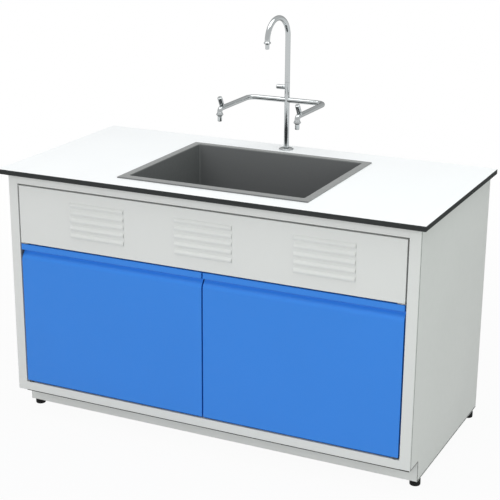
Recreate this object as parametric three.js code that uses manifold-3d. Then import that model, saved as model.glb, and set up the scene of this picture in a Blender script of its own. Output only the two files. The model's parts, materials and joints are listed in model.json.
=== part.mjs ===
// Laboratory sink unit: a folded-steel cabinet with two doors, a worktop with a drop-in sink
// and a three-way tap. Millimetres, +Z up, +X to the right, the front faces -Y.
// The origin is on the floor, under the worktop's centre.
import * as THREE from "three";
import { mergeVertices } from "three/addons/utils/BufferGeometryUtils.js";
import Module from "manifold-3d";

const wasm = await Module();
wasm.setup();

// Worktop: a dark solid-core board with a white decor face bonded on top.
const TOP_WIDTH = 1500;
const TOP_DEPTH = 750;
const TOP_HEIGHT = 900;
const FACE_THICKNESS = 0.5;
const CORE_THICKNESS = 16.5;
const TOP_UNDERSIDE = TOP_HEIGHT - FACE_THICKNESS - CORE_THICKNESS;

// Casing of folded sheet, with the front face and the plinth set back from the worktop's edge.
const SHEET = 1.5;
const CASE_HALF_WIDTH = 729;
const CASE_FRONT = -349;
const CASE_BACK = 373;
const INSIDE_HALF = CASE_HALF_WIDTH - SHEET;
const INSIDE_BACK = CASE_BACK - SHEET;
const BACK_PANEL_FRONT = INSIDE_BACK - SHEET;
const BEND_RADIUS = 3;

// Front frame: the stiles are the side panels' front returns, the rails are welded between them.
const STILE_WIDTH = 35.5;
const STILE_RETURN = 20;
const TOP_RAIL_HEIGHT = 33;
const BOTTOM_RAIL_HEIGHT = 31.5;
const FRAME_BOTTOM = 95.5;
const OPENING_HALF = CASE_HALF_WIDTH - STILE_WIDTH;
const OPENING_TOP = TOP_UNDERSIDE - TOP_RAIL_HEIGHT;
const OPENING_BOTTOM = FRAME_BOTTOM + BOTTOM_RAIL_HEIGHT;

// Plinth, set back under the front frame as a toe recess.
const PLINTH_FRONT = -271;
const PLINTH_BOTTOM = 24;
const PLINTH_RETURN = 22;
const REAR_RETURN = 18;

// Louvre panel above the doors, flush with the frame.
const GAP = 5.5;
const PANEL_LINE = 640.75;
const PANEL_DEPTH = 20;
const PANEL_LIP = 49;
const PANEL_HALF = OPENING_HALF - GAP;
const PANEL_BOTTOM = PANEL_LINE + GAP / 2;
const PANEL_TOP = OPENING_TOP - GAP;
const LOUVRE_CENTRES = [-383, 10, 426];
const LOUVRE_ROWS = 5;
const LOUVRE_PITCH = 26.5;
const LOUVRE_TOP = 810;
const LOUVRE_LENGTH = 203;
const LOUVRE_HEIGHT = 16;
const LOUVRE_OUT = 4;
const LOUVRE_FOOT = 2.2;
const LOUVRE_CROWN = 0.45;
const LOUVRE_END = 5;
const LOUVRE_SHEET = 1.25;

// Doors: double-skinned, flush with the frame, with a finger groove pressed along the top.
const DOOR_SPLIT = 6;
const DOOR_DEPTH = 20;
const DOOR_SHEET = 1.25;
const DOOR_TOP = PANEL_LINE - GAP / 2;
const BOTTOM_GAP = 7.5;
const DOOR_BOTTOM = OPENING_BOTTOM + BOTTOM_GAP;
const DOOR_HEIGHT = DOOR_TOP - DOOR_BOTTOM;
const DOOR_LIP = 21.5;
const GROOVE_HEIGHT = 34;
const GROOVE_DEPTH = 11.5;
const GROOVE_TURN = 0.6;
const LINING_FLANGE = 5;
const LINING_GAP = 0.25;

// Door pivots: pins at the top and bottom of the hinge edge.
const PIVOT_INSET = 11;
const PIVOT_SETBACK = 8;
const PIVOT_RADIUS = 4;
const PIVOT_HOLE_RADIUS = 4.3;
const PIVOT_X = PANEL_HALF - PIVOT_INSET;
const PIVOT_Y = CASE_FRONT + PIVOT_SETBACK;
const PIVOT_SEAT = 18;
const PIVOT_WASHER_RADIUS = 9;
const PIVOT_WASHER_HEIGHT = 7.25;
const HINGE_PLATE = 2;
const HINGE_PLATE_WIDTH = 26;
const HINGE_PLATE_DROP = 27;

// Members inside the casing.
const MID_RAIL_FRONT = -320;
const MID_RAIL_SIZE = 30;
const FLOOR_FRONT = -321;
const FLOOR_FLANGE_BOTTOM = 97.5;
const STRETCHER_FRONT = 345;
const STRETCHER_HEIGHT = 40;
const BEARER_SIZE = 30;
const BEARER_CLEARANCE = 32;
const TOP_RAIL_RETURN = 40;
const SERVICE_WIDTH = 240;
const SERVICE_HEIGHT = 180;
const SERVICE_CENTRE = 530;
const CATCH_WIDTH = 36;
const CATCH_HEIGHT = 20;
const CATCH_OFFSET = 32;
const CATCH_GAP = 0.5;

// Levelling feet: a round pad on a threaded stud, in a plate with a welded nut.
const FOOT_X = 713;
const FOOT_FRONT_Y = -241;
const FOOT_BACK_Y = 333;
const FOOT_RADIUS = 18;
const FOOT_HEIGHT = 23.5;
const FOOT_ROUND = 3;
const STUD_RADIUS = 6;
const STUD_TOP = 70;
const STUD_HOLE_RADIUS = 6.4;
const FOOT_PLATE = 4;
const FOOT_PLATE_INNER = 660;
const FOOT_NUT_RADIUS = 11;
const FOOT_NUT_HEIGHT = 10;

// Sink: a drop-in bowl whose rim lies on the worktop and whose floor falls to the waste.
const SINK_X = 6;
const SINK_Y = -11.5;
const RIM_WIDTH = 679;
const RIM_DEPTH = 560;
const RIM_HEIGHT = 3;
const RIM_CORNER = 4;
const RIM_SHIFT = -6.5;
const BOWL_WIDTH = 627;
const BOWL_DEPTH = 501;
const BOWL_WALL = 6;
const BOWL_CORNER = 8;
const BOWL_FLOOR = 654;
const BOWL_FALL = 6;
const BOWL_UNDERSIDE = 640;
const CUTOUT_GAP = 2;

// Waste fitting and bottle trap under the bowl.
const WASTE_FLANGE_RADIUS = 42;
const WASTE_FLANGE_HEIGHT = 3;
const WASTE_TAIL_RADIUS = 24;
const WASTE_BORE_RADIUS = 20;
const WASTE_TAIL_BOTTOM = 590;
const WASTE_HOLE_RADIUS = 24.5;
const GRID_RADIUS = 30;
const GRID_HEIGHT = 2;
const GRID_HOLES = 8;
const GRID_HOLE_RADIUS = 4;
const GASKET_HEIGHT = 4;
const WASTE_NUT_RADIUS = 39;
const WASTE_NUT_HEIGHT = 14;
const TRAP_RADIUS = 40;
const TRAP_CUP_RADIUS = 45;
const TRAP_CUP_TOP = 508;
const TRAP_CUP_BOTTOM = 438;
const TRAP_CUP_FOOT = 29;
const TRAP_CUP_BAND = 22;
const TRAP_CUP_STEP = 5;
const TRAP_CUP_FLOOR = 4;
const TRAP_THREAD_RADIUS = 37;
const TRAP_THREAD_DEPTH = 30;
const TRAP_NECK_RADIUS = 23;
const TRAP_NECK = 22;
const TRAP_SHOULDER = 8;
const TRAP_NUT_WALL = 8;
const TRAP_COLLAR = 24;
const TRAP_OUTLET_Z = 540;
const TRAP_OUTLET_RADIUS = 22;
const TRAP_OUTLET_REACH = 80;
const WASTE_PIPE_RADIUS = 20;
const WASTE_PIPE_BORE = 17;
const WASTE_PIPE_END = 340;

// Tap: a column with a swivelling gooseneck and two side arms, each with a knob and a hose nozzle.
const TAP_Y = 318;
const COLUMN_RADIUS = 9;
const COLUMN_TOP = 240;
const FLANGE_RADIUS = 26;
const FLANGE_HEIGHT = 6.5;
const FLANGE_SEAT = 4;
const FLANGE_EDGE = 2;
const SHANK_RADIUS = 11;
const SHANK_BORE = 7;
const SHANK_BOTTOM = -90;
const TAP_HOLE_RADIUS = 12;
const BACKNUT_RADIUS = 20;
const BACKNUT_HEIGHT = 12;
const FIT = 0.3;
const SWIVEL_SEAM = 0.5;
const SPIGOT_RADIUS = 6.5;
const SPIGOT_LENGTH = 26;
const ARCH_RADIUS = 70;
const ARCH_START = 401.5;
const ARCH_TURN = THREE.MathUtils.degToRad(-6);
const ARM_RADIUS = 8.75;
const ARM_Z = 177;
const ARM_HALF_SPAN = 144;
const ARM_REACH = 240;
const ARM_BEND = 30;
const ELBOW_BEND = 12;
const MAIN_KNOB_Z = 222;
const MAIN_KNOB_RADIUS = 8.25;
const MAIN_BOSS_END = 14;
const MAIN_KNOB_END = 40;
const SIDE_KNOB_RADIUS = 8.25;
const SIDE_KNOB_SETBACK = 22;
const SIDE_KNOB_LEAN = THREE.MathUtils.degToRad(31);
const SIDE_BOSS_END = 15.5;
const SIDE_KNOB_END = 45.5;
const KNOB_SEAM = 0.5;
const KNOB_ROUND = 2.5;
const NOZZLE_CHAMFER = 1;
const NOZZLE_WALL = 3;
const NOZZLE_COLLAR_TOP = 2;
const NOZZLE_TAPER = 3.5;
const GOOSENECK_NOZZLE = { tube: COLUMN_RADIUS, collar: 12.5, collarBottom: 7, tip: 7, length: 27 };
const SIDE_NOZZLE = { tube: ARM_RADIUS, collar: 12.5, collarBottom: 9, tip: 7.5, length: 31 };

// Facets on round pieces.
const ROUND = 24;
const SMALL_ROUND = 18;
const PIPE_SIDES = 16;
const BEND_STEPS = 3;

const finishes = {
  casing: { color: 0xd2d4d1, roughness: 0.5, metalness: 0 },
  door: { color: 0x4183d9, roughness: 0.45, metalness: 0 },
  decor: { color: 0xfafbfb, roughness: 0.4, metalness: 0 },
  core: { color: 0x2c2e2e, roughness: 0.6, metalness: 0 },
  sink: { color: 0x7b7e7d, roughness: 0.55, metalness: 0 },
  chrome: { color: 0xd9dddd, roughness: 0.08, metalness: 1 },
  zinc: { color: 0xb4b8ba, roughness: 0.4, metalness: 1 },
  rubber: { color: 0x242626, roughness: 0.8, metalness: 0 },
  pipe: { color: 0xe6e6e1, roughness: 0.5, metalness: 0 },
};

// Solids and booleans

// Shares vertices, drops collapsed triangles and turns the faces outwards.
function tidy(geometry) {
  const source = geometry.clone();
  source.deleteAttribute("normal");
  source.deleteAttribute("uv");
  source.clearGroups();
  const merged = mergeVertices(source);
  const index = merged.getIndex().array;
  const corner = [0, 1, 2].map(() => new THREE.Vector3());
  const kept = [];
  let volume = 0;
  for (let i = 0; i < index.length; i += 3) {
    const [a, b, c] = [index[i], index[i + 1], index[i + 2]];
    if (a === b || b === c || c === a) continue;
    kept.push([a, b, c]);
    corner.forEach((point, k) => point.fromBufferAttribute(merged.getAttribute("position"), [a, b, c][k]));
    volume += corner[0].dot(corner[1].cross(corner[2]));
  }
  merged.setIndex(kept.flatMap(([a, b, c]) => (volume < 0 ? [a, c, b] : [a, b, c])));
  merged.computeVertexNormals();
  return merged;
}

function solid(geometry) {
  const body = tidy(geometry);
  const vertProperties = new Float32Array(body.getAttribute("position").array);
  const triVerts = new Uint32Array(body.getIndex().array);
  return new wasm.Manifold(new wasm.Mesh({ numProp: 3, vertProperties, triVerts }));
}

function surface(manifold) {
  const { vertProperties, triVerts } = manifold.getMesh();
  const geometry = new THREE.BufferGeometry();
  geometry.setAttribute("position", new THREE.BufferAttribute(new Float32Array(vertProperties), 3));
  geometry.setIndex(new THREE.BufferAttribute(new Uint32Array(triVerts), 1));
  geometry.computeVertexNormals();
  return geometry;
}

function cut(body, ...tools) {
  return surface(tools.reduce((rest, tool) => rest.subtract(solid(tool)), solid(body)));
}

function join(first, ...others) {
  return surface(others.reduce((sum, other) => sum.add(solid(other)), solid(first)));
}

function common(first, second) {
  return surface(solid(first).intersect(solid(second)));
}

// Basic forms

function block(x0, x1, y0, y1, z0, z1) {
  const geometry = new THREE.BoxGeometry(x1 - x0, y1 - y0, z1 - z0);
  return geometry.translate((x0 + x1) / 2, (y0 + y1) / 2, (z0 + z1) / 2);
}

// A plan outline raised from z0 to z1.
function upright(shape, z0, z1, curveSegments = BEND_STEPS) {
  const geometry = new THREE.ExtrudeGeometry(shape, { depth: z1 - z0, bevelEnabled: false, curveSegments });
  return geometry.translate(0, 0, z0);
}

// A side-view outline, drawn as (y, z), drawn out from x0 to x1.
function lengthways(shape, x0, x1, curveSegments = BEND_STEPS) {
  const geometry = new THREE.ExtrudeGeometry(shape, { depth: x1 - x0, bevelEnabled: false, curveSegments });
  const turn = new THREE.Matrix4().makeBasis(
    new THREE.Vector3(0, 1, 0),
    new THREE.Vector3(0, 0, 1),
    new THREE.Vector3(1, 0, 0),
  );
  return geometry.applyMatrix4(turn).translate(x0, 0, 0);
}

// A front-view outline, drawn as (x, z), drawn out from y0 back to y1.
function depthways(shape, y0, y1, curveSegments = BEND_STEPS) {
  const geometry = new THREE.ExtrudeGeometry(shape, { depth: y1 - y0, bevelEnabled: false, curveSegments });
  return geometry.rotateX(Math.PI / 2).translate(0, y1, 0);
}

// A profile of (radius, height) points turned about the Z axis.
function turned(points, segments = ROUND) {
  const profile = points.map(([radius, height]) => new THREE.Vector2(radius, height));
  return new THREE.LatheGeometry(profile, segments).rotateX(Math.PI / 2);
}

function rod(radius, z0, z1, segments = ROUND) {
  return turned([[0, z0], [radius, z0], [radius, z1], [0, z1]], segments);
}

function ring(outer, inner, z0, z1, segments = ROUND) {
  return turned([[inner, z0], [outer, z0], [outer, z1], [inner, z1], [inner, z0]], segments);
}

// A twelve-sided nut with a round hole.
function ringNut(outer, inner, z0, z1) {
  return cut(rod(outer, z0, z1, 12), rod(inner, z0 - 1, z1 + 1));
}

function mirrored(geometry) {
  return geometry.clone().scale(-1, 1, 1);
}

function rectangle(width, depth, radius = 0, x = 0, y = 0) {
  const [a, b] = [width / 2, depth / 2];
  const shape = new THREE.Shape();
  if (radius === 0) {
    shape.moveTo(x - a, y - b);
    shape.lineTo(x + a, y - b);
    shape.lineTo(x + a, y + b);
    shape.lineTo(x - a, y + b);
    shape.closePath();
    return shape;
  }
  shape.absarc(x + a - radius, y - b + radius, radius, -Math.PI / 2, 0);
  shape.absarc(x + a - radius, y + b - radius, radius, 0, Math.PI / 2);
  shape.absarc(x - a + radius, y + b - radius, radius, Math.PI / 2, Math.PI);
  shape.absarc(x - a + radius, y - b + radius, radius, Math.PI, Math.PI * 1.5);
  shape.closePath();
  return shape;
}

// The section of a folded sheet. Its path is the outer face, every fold turns left, and a third number
// on a corner is the outer radius of that fold.
function folded(path, thickness = SHEET) {
  const outer = [];
  const inner = [];
  const origin = new THREE.Vector2();
  const point = ([x, y]) => new THREE.Vector2(x, y);
  const normal = (from, to) => {
    const along = point(to).sub(point(from)).normalize();
    return along.rotateAround(origin, Math.PI / 2);
  };
  path.forEach((corner, i) => {
    const before = normal(path[Math.max(i - 1, 0)], path[Math.max(i, 1)]);
    const after = normal(path[Math.min(i, path.length - 2)], path[Math.min(i + 1, path.length - 1)]);
    const mitre = before.clone().add(after).divideScalar(1 + before.dot(after));
    const radius = corner[2] ?? 0;
    const steps = radius > thickness ? BEND_STEPS : 0;
    const reach = steps ? radius : 0;
    const centre = point(corner).addScaledVector(mitre, reach);
    for (let k = 0; k <= steps; k += 1) {
      const angle = steps ? (before.angleTo(after) * k) / steps : 0;
      const across = steps ? before.clone().rotateAround(origin, angle) : mitre;
      outer.push(centre.clone().addScaledVector(across, -reach));
      inner.push(centre.clone().addScaledVector(across, thickness - reach));
    }
  });
  return new THREE.Shape([...outer, ...inner.reverse()]);
}

// The centre line of a bent pipe: straight runs between corners, each corner rounded to its own radius.
class PipeRun extends THREE.Curve {
  constructor(corners, bendSteps) {
    super();
    this.stations = [];
    corners.forEach(({ at, bend }, i) => {
      if (!bend) {
        const along = i === 0 ? corners[1].at.clone().sub(at) : at.clone().sub(corners[i - 1].at);
        this.add(at, along.normalize());
        return;
      }
      const incoming = at.clone().sub(corners[i - 1].at).normalize();
      const outgoing = corners[i + 1].at.clone().sub(at).normalize();
      const turn = incoming.angleTo(outgoing);
      const inward = outgoing.clone().addScaledVector(incoming, -outgoing.dot(incoming)).normalize();
      const start = at.clone().addScaledVector(incoming, -bend * Math.tan(turn / 2));
      const centre = start.clone().addScaledVector(inward, bend);
      for (let k = 0; k <= bendSteps; k += 1) {
        const angle = (turn * k) / bendSteps;
        const place = centre.clone().addScaledVector(inward, -bend * Math.cos(angle));
        place.addScaledVector(incoming, bend * Math.sin(angle));
        const along = incoming.clone().multiplyScalar(Math.cos(angle));
        this.add(place, along.addScaledVector(inward, Math.sin(angle)));
      }
    });
  }

  add(place, along) {
    const last = this.stations.at(-1);
    if (!last || last.place.distanceTo(place) > 0.01) this.stations.push({ place, along });
  }

  station(t) {
    return this.stations[Math.round(t * (this.stations.length - 1))];
  }

  getPoint(t) {
    return this.station(t).place.clone();
  }

  getTangent(t) {
    return this.station(t).along.clone();
  }

  getUtoTmapping(u) {
    return u;
  }
}

function pipe(corners, radius, bendSteps) {
  const run = new PipeRun(corners, bendSteps);
  const corner = (i) => (i + 0.5) * ((2 * Math.PI) / PIPE_SIDES);
  const section = Array.from({ length: PIPE_SIDES }, (_, i) => {
    return new THREE.Vector2(Math.cos(corner(i)), Math.sin(corner(i))).multiplyScalar(radius);
  });
  const steps = run.stations.length - 1;
  const outline = new THREE.Shape(section);
  return new THREE.ExtrudeGeometry(outline, { steps, bevelEnabled: false, extrudePath: run });
}

function at(x, y, z) {
  return new THREE.Vector3(x, y, z);
}

// The assembly

const unit = new THREE.Group();

function place(parent, name, geometry, finish) {
  const mesh = new THREE.Mesh(tidy(geometry), new THREE.MeshStandardMaterial(finish));
  mesh.name = name;
  parent.add(mesh);
  return mesh;
}

function groupAt(parent, x, y, z) {
  const group = new THREE.Group();
  group.position.set(x, y, z);
  parent.add(group);
  return group;
}

const sides = [
  { word: "left", sign: -1 },
  { word: "right", sign: 1 },
];

function addWorktop() {
  const outline = rectangle(TOP_WIDTH, TOP_DEPTH);
  const cutout = 2 * (BOWL_WALL + CUTOUT_GAP);
  const sinkHole = rectangle(BOWL_WIDTH + cutout, BOWL_DEPTH + cutout, BOWL_CORNER, SINK_X, SINK_Y);
  const tapHole = new THREE.Path().absarc(0, TAP_Y, TAP_HOLE_RADIUS, 0, 2 * Math.PI);
  outline.holes.push(sinkHole, tapHole);
  const faceBottom = TOP_HEIGHT - FACE_THICKNESS;
  const curve = 6;
  place(unit, "worktop_core", upright(outline, TOP_UNDERSIDE, faceBottom, curve), finishes.core);
  place(unit, "worktop_face", upright(outline, faceBottom, TOP_HEIGHT, curve), finishes.decor);
}

function addSidePanels() {
  const path = [
    [OPENING_HALF, CASE_FRONT + STILE_RETURN],
    [OPENING_HALF, CASE_FRONT],
    [CASE_HALF_WIDTH, CASE_FRONT, BEND_RADIUS],
    [CASE_HALF_WIDTH, CASE_BACK],
    [CASE_HALF_WIDTH - PLINTH_RETURN, CASE_BACK],
  ];
  const wall = upright(folded(path), PLINTH_BOTTOM, TOP_UNDERSIDE);
  const beyond = 5;
  const toeNotch = block(
    OPENING_HALF - beyond,
    CASE_HALF_WIDTH + beyond,
    CASE_FRONT - beyond,
    PLINTH_FRONT,
    PLINTH_BOTTOM - beyond,
    FRAME_BOTTOM,
  );
  const notchReturn = block(
    OPENING_HALF,
    INSIDE_HALF + SHEET / 2,
    CASE_FRONT + SHEET / 2,
    PLINTH_FRONT,
    FRAME_BOTTOM,
    FRAME_BOTTOM + SHEET,
  );
  const panel = join(cut(wall, toeNotch), notchReturn);
  place(unit, "side_panel_right", panel, finishes.casing);
  place(unit, "side_panel_left", mirrored(panel), finishes.casing);
}

// Rails, stretchers and plinths are channels that run the width of the unit.
function addCrossMembers() {
  const topRail = folded([
    [CASE_FRONT + TOP_RAIL_RETURN, TOP_UNDERSIDE],
    [CASE_FRONT, TOP_UNDERSIDE, BEND_RADIUS],
    [CASE_FRONT, OPENING_TOP],
    [CASE_FRONT + STILE_RETURN, OPENING_TOP],
  ]);
  place(unit, "top_rail", lengthways(topRail, -OPENING_HALF, OPENING_HALF), finishes.casing);

  const bottomRail = folded([
    [CASE_FRONT + STILE_RETURN, OPENING_BOTTOM],
    [CASE_FRONT, OPENING_BOTTOM],
    [CASE_FRONT, FRAME_BOTTOM, BEND_RADIUS],
    [PLINTH_FRONT + PLINTH_RETURN, FRAME_BOTTOM],
  ]);
  const pivotHole = rod(PIVOT_HOLE_RADIUS, FRAME_BOTTOM + GAP, DOOR_BOTTOM, SMALL_ROUND);
  const drilled = cut(
    lengthways(bottomRail, -OPENING_HALF, OPENING_HALF),
    pivotHole.clone().translate(-PIVOT_X, PIVOT_Y, 0),
    pivotHole.clone().translate(PIVOT_X, PIVOT_Y, 0),
  );
  place(unit, "bottom_rail", drilled, finishes.casing);

  const midRail = folded([
    [MID_RAIL_FRONT + MID_RAIL_SIZE, PANEL_BOTTOM],
    [MID_RAIL_FRONT, PANEL_BOTTOM, BEND_RADIUS],
    [MID_RAIL_FRONT, PANEL_BOTTOM - MID_RAIL_SIZE, BEND_RADIUS],
    [MID_RAIL_FRONT + MID_RAIL_SIZE, PANEL_BOTTOM - MID_RAIL_SIZE],
  ]);
  place(unit, "mid_rail", lengthways(midRail, -INSIDE_HALF, INSIDE_HALF), finishes.casing);

  const frontPlinth = folded([
    [PLINTH_FRONT + PLINTH_RETURN, FRAME_BOTTOM],
    [PLINTH_FRONT, FRAME_BOTTOM],
    [PLINTH_FRONT, PLINTH_BOTTOM, BEND_RADIUS],
    [PLINTH_FRONT + PLINTH_RETURN, PLINTH_BOTTOM],
  ]);
  place(unit, "front_plinth", lengthways(frontPlinth, -INSIDE_HALF, INSIDE_HALF), finishes.casing);

  const rearPlinth = folded([
    [INSIDE_BACK - REAR_RETURN, PLINTH_BOTTOM],
    [INSIDE_BACK, PLINTH_BOTTOM, BEND_RADIUS],
    [INSIDE_BACK, FLOOR_FLANGE_BOTTOM],
    [INSIDE_BACK - REAR_RETURN, FLOOR_FLANGE_BOTTOM],
  ]);
  place(unit, "rear_plinth", lengthways(rearPlinth, -INSIDE_HALF, INSIDE_HALF), finishes.casing);

  const stretcher = folded([
    [STRETCHER_FRONT, TOP_UNDERSIDE - STRETCHER_HEIGHT],
    [BACK_PANEL_FRONT, TOP_UNDERSIDE - STRETCHER_HEIGHT, BEND_RADIUS],
    [BACK_PANEL_FRONT, TOP_UNDERSIDE, BEND_RADIUS],
    [STRETCHER_FRONT, TOP_UNDERSIDE],
  ]);
  place(unit, "rear_stretcher", lengthways(stretcher, -INSIDE_HALF, INSIDE_HALF), finishes.casing);
}

function addFloorAndBack() {
  const floor = folded([
    [BACK_PANEL_FRONT, FLOOR_FLANGE_BOTTOM],
    [BACK_PANEL_FRONT, OPENING_BOTTOM, BEND_RADIUS],
    [FLOOR_FRONT, OPENING_BOTTOM, BEND_RADIUS],
    [FLOOR_FRONT, FLOOR_FLANGE_BOTTOM],
  ]);
  place(unit, "floor_panel", lengthways(floor, -INSIDE_HALF, INSIDE_HALF), finishes.casing);

  const backHeight = TOP_UNDERSIDE - FLOOR_FLANGE_BOTTOM;
  const backMiddle = (TOP_UNDERSIDE + FLOOR_FLANGE_BOTTOM) / 2;
  const back = rectangle(2 * INSIDE_HALF, backHeight, 0, 0, backMiddle);
  back.holes.push(rectangle(SERVICE_WIDTH, SERVICE_HEIGHT, BEND_RADIUS * 4, SINK_X, SERVICE_CENTRE));
  place(unit, "back_panel", depthways(back, BACK_PANEL_FRONT, INSIDE_BACK, 5), finishes.casing);
}

// Channels from front to back that carry the worktop beside the sink.
function addSinkBearers() {
  const fromCentre = BOWL_WIDTH / 2 + BOWL_WALL + BEARER_CLEARANCE;
  const half = BEARER_SIZE / 2;
  const channel = folded([
    [half, TOP_UNDERSIDE - BEARER_SIZE],
    [half, TOP_UNDERSIDE, BEND_RADIUS],
    [-half, TOP_UNDERSIDE, BEND_RADIUS],
    [-half, TOP_UNDERSIDE - BEARER_SIZE],
  ]);
  const bearer = depthways(channel, CASE_FRONT + TOP_RAIL_RETURN, STRETCHER_FRONT);
  for (const { word, sign } of sides) {
    const mesh = place(unit, `sink_bearer_${word}`, bearer, finishes.casing);
    mesh.position.x = SINK_X + sign * (fromCentre + half);
  }
}

// One louvre: a rounded hood that swells out of the sheet and turns back to the lip of a slit that opens
// downwards. Drawn as (y, z) from the lip.
function louvreOutline(out, foot, height, sill) {
  const shape = new THREE.Shape();
  const crown = height * LOUVRE_CROWN;
  shape.moveTo(sill, 0);
  shape.lineTo(-foot, 0);
  shape.quadraticCurveTo(-out, crown / 2, -out, crown);
  shape.quadraticCurveTo(-out, (crown + height) / 2, 0, height);
  shape.lineTo(sill, height);
  shape.closePath();
  return shape;
}

// A louvre from its lip up, drawn out to both sides and sloped off at its ends.
function louvreForm(out, foot, height, half, sill) {
  const reach = LOUVRE_END * (out / LOUVRE_OUT);
  const plan = new THREE.Shape();
  plan.moveTo(-half, sill);
  plan.lineTo(-half, 0);
  plan.lineTo(reach - half, -out);
  plan.lineTo(half - reach, -out);
  plan.lineTo(half, 0);
  plan.lineTo(half, sill);
  plan.closePath();
  const run = lengthways(louvreOutline(out, foot, height, sill), -half, half);
  return common(run, upright(plan, 0, height));
}

function addLouvrePanel() {
  const pan = block(-PANEL_HALF, PANEL_HALF, CASE_FRONT, CASE_FRONT + PANEL_DEPTH, PANEL_BOTTOM, PANEL_TOP);
  const hollow = block(
    -PANEL_HALF + SHEET,
    PANEL_HALF - SHEET,
    CASE_FRONT + SHEET,
    CASE_FRONT + PANEL_DEPTH + SHEET,
    PANEL_BOTTOM + SHEET,
    PANEL_TOP - SHEET,
  );
  const lip = block(
    -PANEL_HALF,
    PANEL_HALF,
    CASE_FRONT + PANEL_DEPTH - SHEET,
    CASE_FRONT + PANEL_LIP,
    PANEL_BOTTOM,
    PANEL_BOTTOM + SHEET,
  );
  const half = LOUVRE_LENGTH / 2;
  const hood = louvreForm(LOUVRE_OUT, LOUVRE_FOOT, LOUVRE_HEIGHT, half, SHEET / 2);
  const slit = louvreForm(
    LOUVRE_OUT - LOUVRE_SHEET,
    LOUVRE_FOOT - LOUVRE_SHEET,
    LOUVRE_HEIGHT - LOUVRE_SHEET,
    half - LOUVRE_SHEET,
    2 * SHEET,
  );
  const hoods = [];
  const slits = [];
  for (const x of LOUVRE_CENTRES) {
    for (let row = 0; row < LOUVRE_ROWS; row += 1) {
      const lipZ = LOUVRE_TOP - LOUVRE_HEIGHT - row * LOUVRE_PITCH;
      hoods.push(hood.clone().translate(x, CASE_FRONT, lipZ));
      slits.push(slit.clone().translate(x, CASE_FRONT, lipZ));
    }
  }
  const pressed = join(cut(pan, hollow), lip, ...hoods);
  place(unit, "louvre_panel", cut(pressed, ...slits), finishes.casing);
}

// The door's section from front (y = 0) to back. The finger groove is deepest under the top lip and sweeps
// out to the front in an S.
function doorOutline(inset, back) {
  const grooveTop = DOOR_HEIGHT - DOOR_LIP + inset;
  const grooveFoot = DOOR_HEIGHT - DOOR_LIP - GROOVE_HEIGHT - inset / 2;
  const turn = grooveFoot + GROOVE_HEIGHT * GROOVE_TURN;
  const depth = GROOVE_DEPTH + inset;
  const shape = new THREE.Shape();
  shape.moveTo(back, inset);
  shape.lineTo(inset, inset);
  shape.lineTo(inset, grooveFoot);
  shape.bezierCurveTo(inset, turn, depth, turn, depth, grooveTop);
  shape.lineTo(inset, grooveTop);
  shape.lineTo(inset, DOOR_HEIGHT - inset);
  shape.lineTo(back, DOOR_HEIGHT - inset);
  shape.closePath();
  return shape;
}

function addDoor({ word, sign }) {
  const free = DOOR_SPLIT + (sign * GAP) / 2;
  const left = Math.min(free, sign * PANEL_HALF);
  const right = Math.max(free, sign * PANEL_HALF);
  const width = right - left;
  const pivot = sign * PIVOT_X - left;
  const door = groupAt(unit, left, CASE_FRONT, DOOR_BOTTOM);

  const curve = 9;
  const form = lengthways(doorOutline(0, DOOR_DEPTH), 0, width, curve);
  const inside = doorOutline(DOOR_SHEET, DOOR_DEPTH + SHEET);
  const hollow = lengthways(inside, DOOR_SHEET, width - DOOR_SHEET, curve);
  const drill = rod(PIVOT_HOLE_RADIUS, -GAP, GAP, SMALL_ROUND);
  const skin = cut(
    form,
    hollow,
    drill.clone().translate(pivot, PIVOT_SETBACK, 0),
    drill.clone().translate(pivot, PIVOT_SETBACK, DOOR_HEIGHT),
  );
  place(door, `${word}_door_skin`, skin, finishes.door);

  const edge = DOOR_SHEET + LINING_GAP;
  const tray = block(edge, width - edge, DOOR_DEPTH - LINING_FLANGE, DOOR_DEPTH, edge, DOOR_HEIGHT - edge);
  const inner = edge + DOOR_SHEET;
  const dish = block(
    inner,
    width - inner,
    DOOR_DEPTH - LINING_FLANGE - SHEET,
    DOOR_DEPTH - DOOR_SHEET,
    inner,
    DOOR_HEIGHT - inner,
  );
  place(door, `${word}_door_lining`, cut(tray, dish), finishes.door);

  const lowerPin = rod(PIVOT_RADIUS, -GAP - BOTTOM_GAP, PIVOT_SEAT, SMALL_ROUND);
  const lower = place(door, `${word}_pivot_pin_bottom`, lowerPin, finishes.zinc);
  lower.position.set(pivot, PIVOT_SETBACK, 0);
  const upperPin = rod(PIVOT_RADIUS, -PIVOT_SEAT, (GAP + HINGE_PLATE) / 2, SMALL_ROUND);
  const upper = place(door, `${word}_pivot_pin_top`, upperPin, finishes.zinc);
  upper.position.set(pivot, PIVOT_SETBACK, DOOR_HEIGHT);
}

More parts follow.
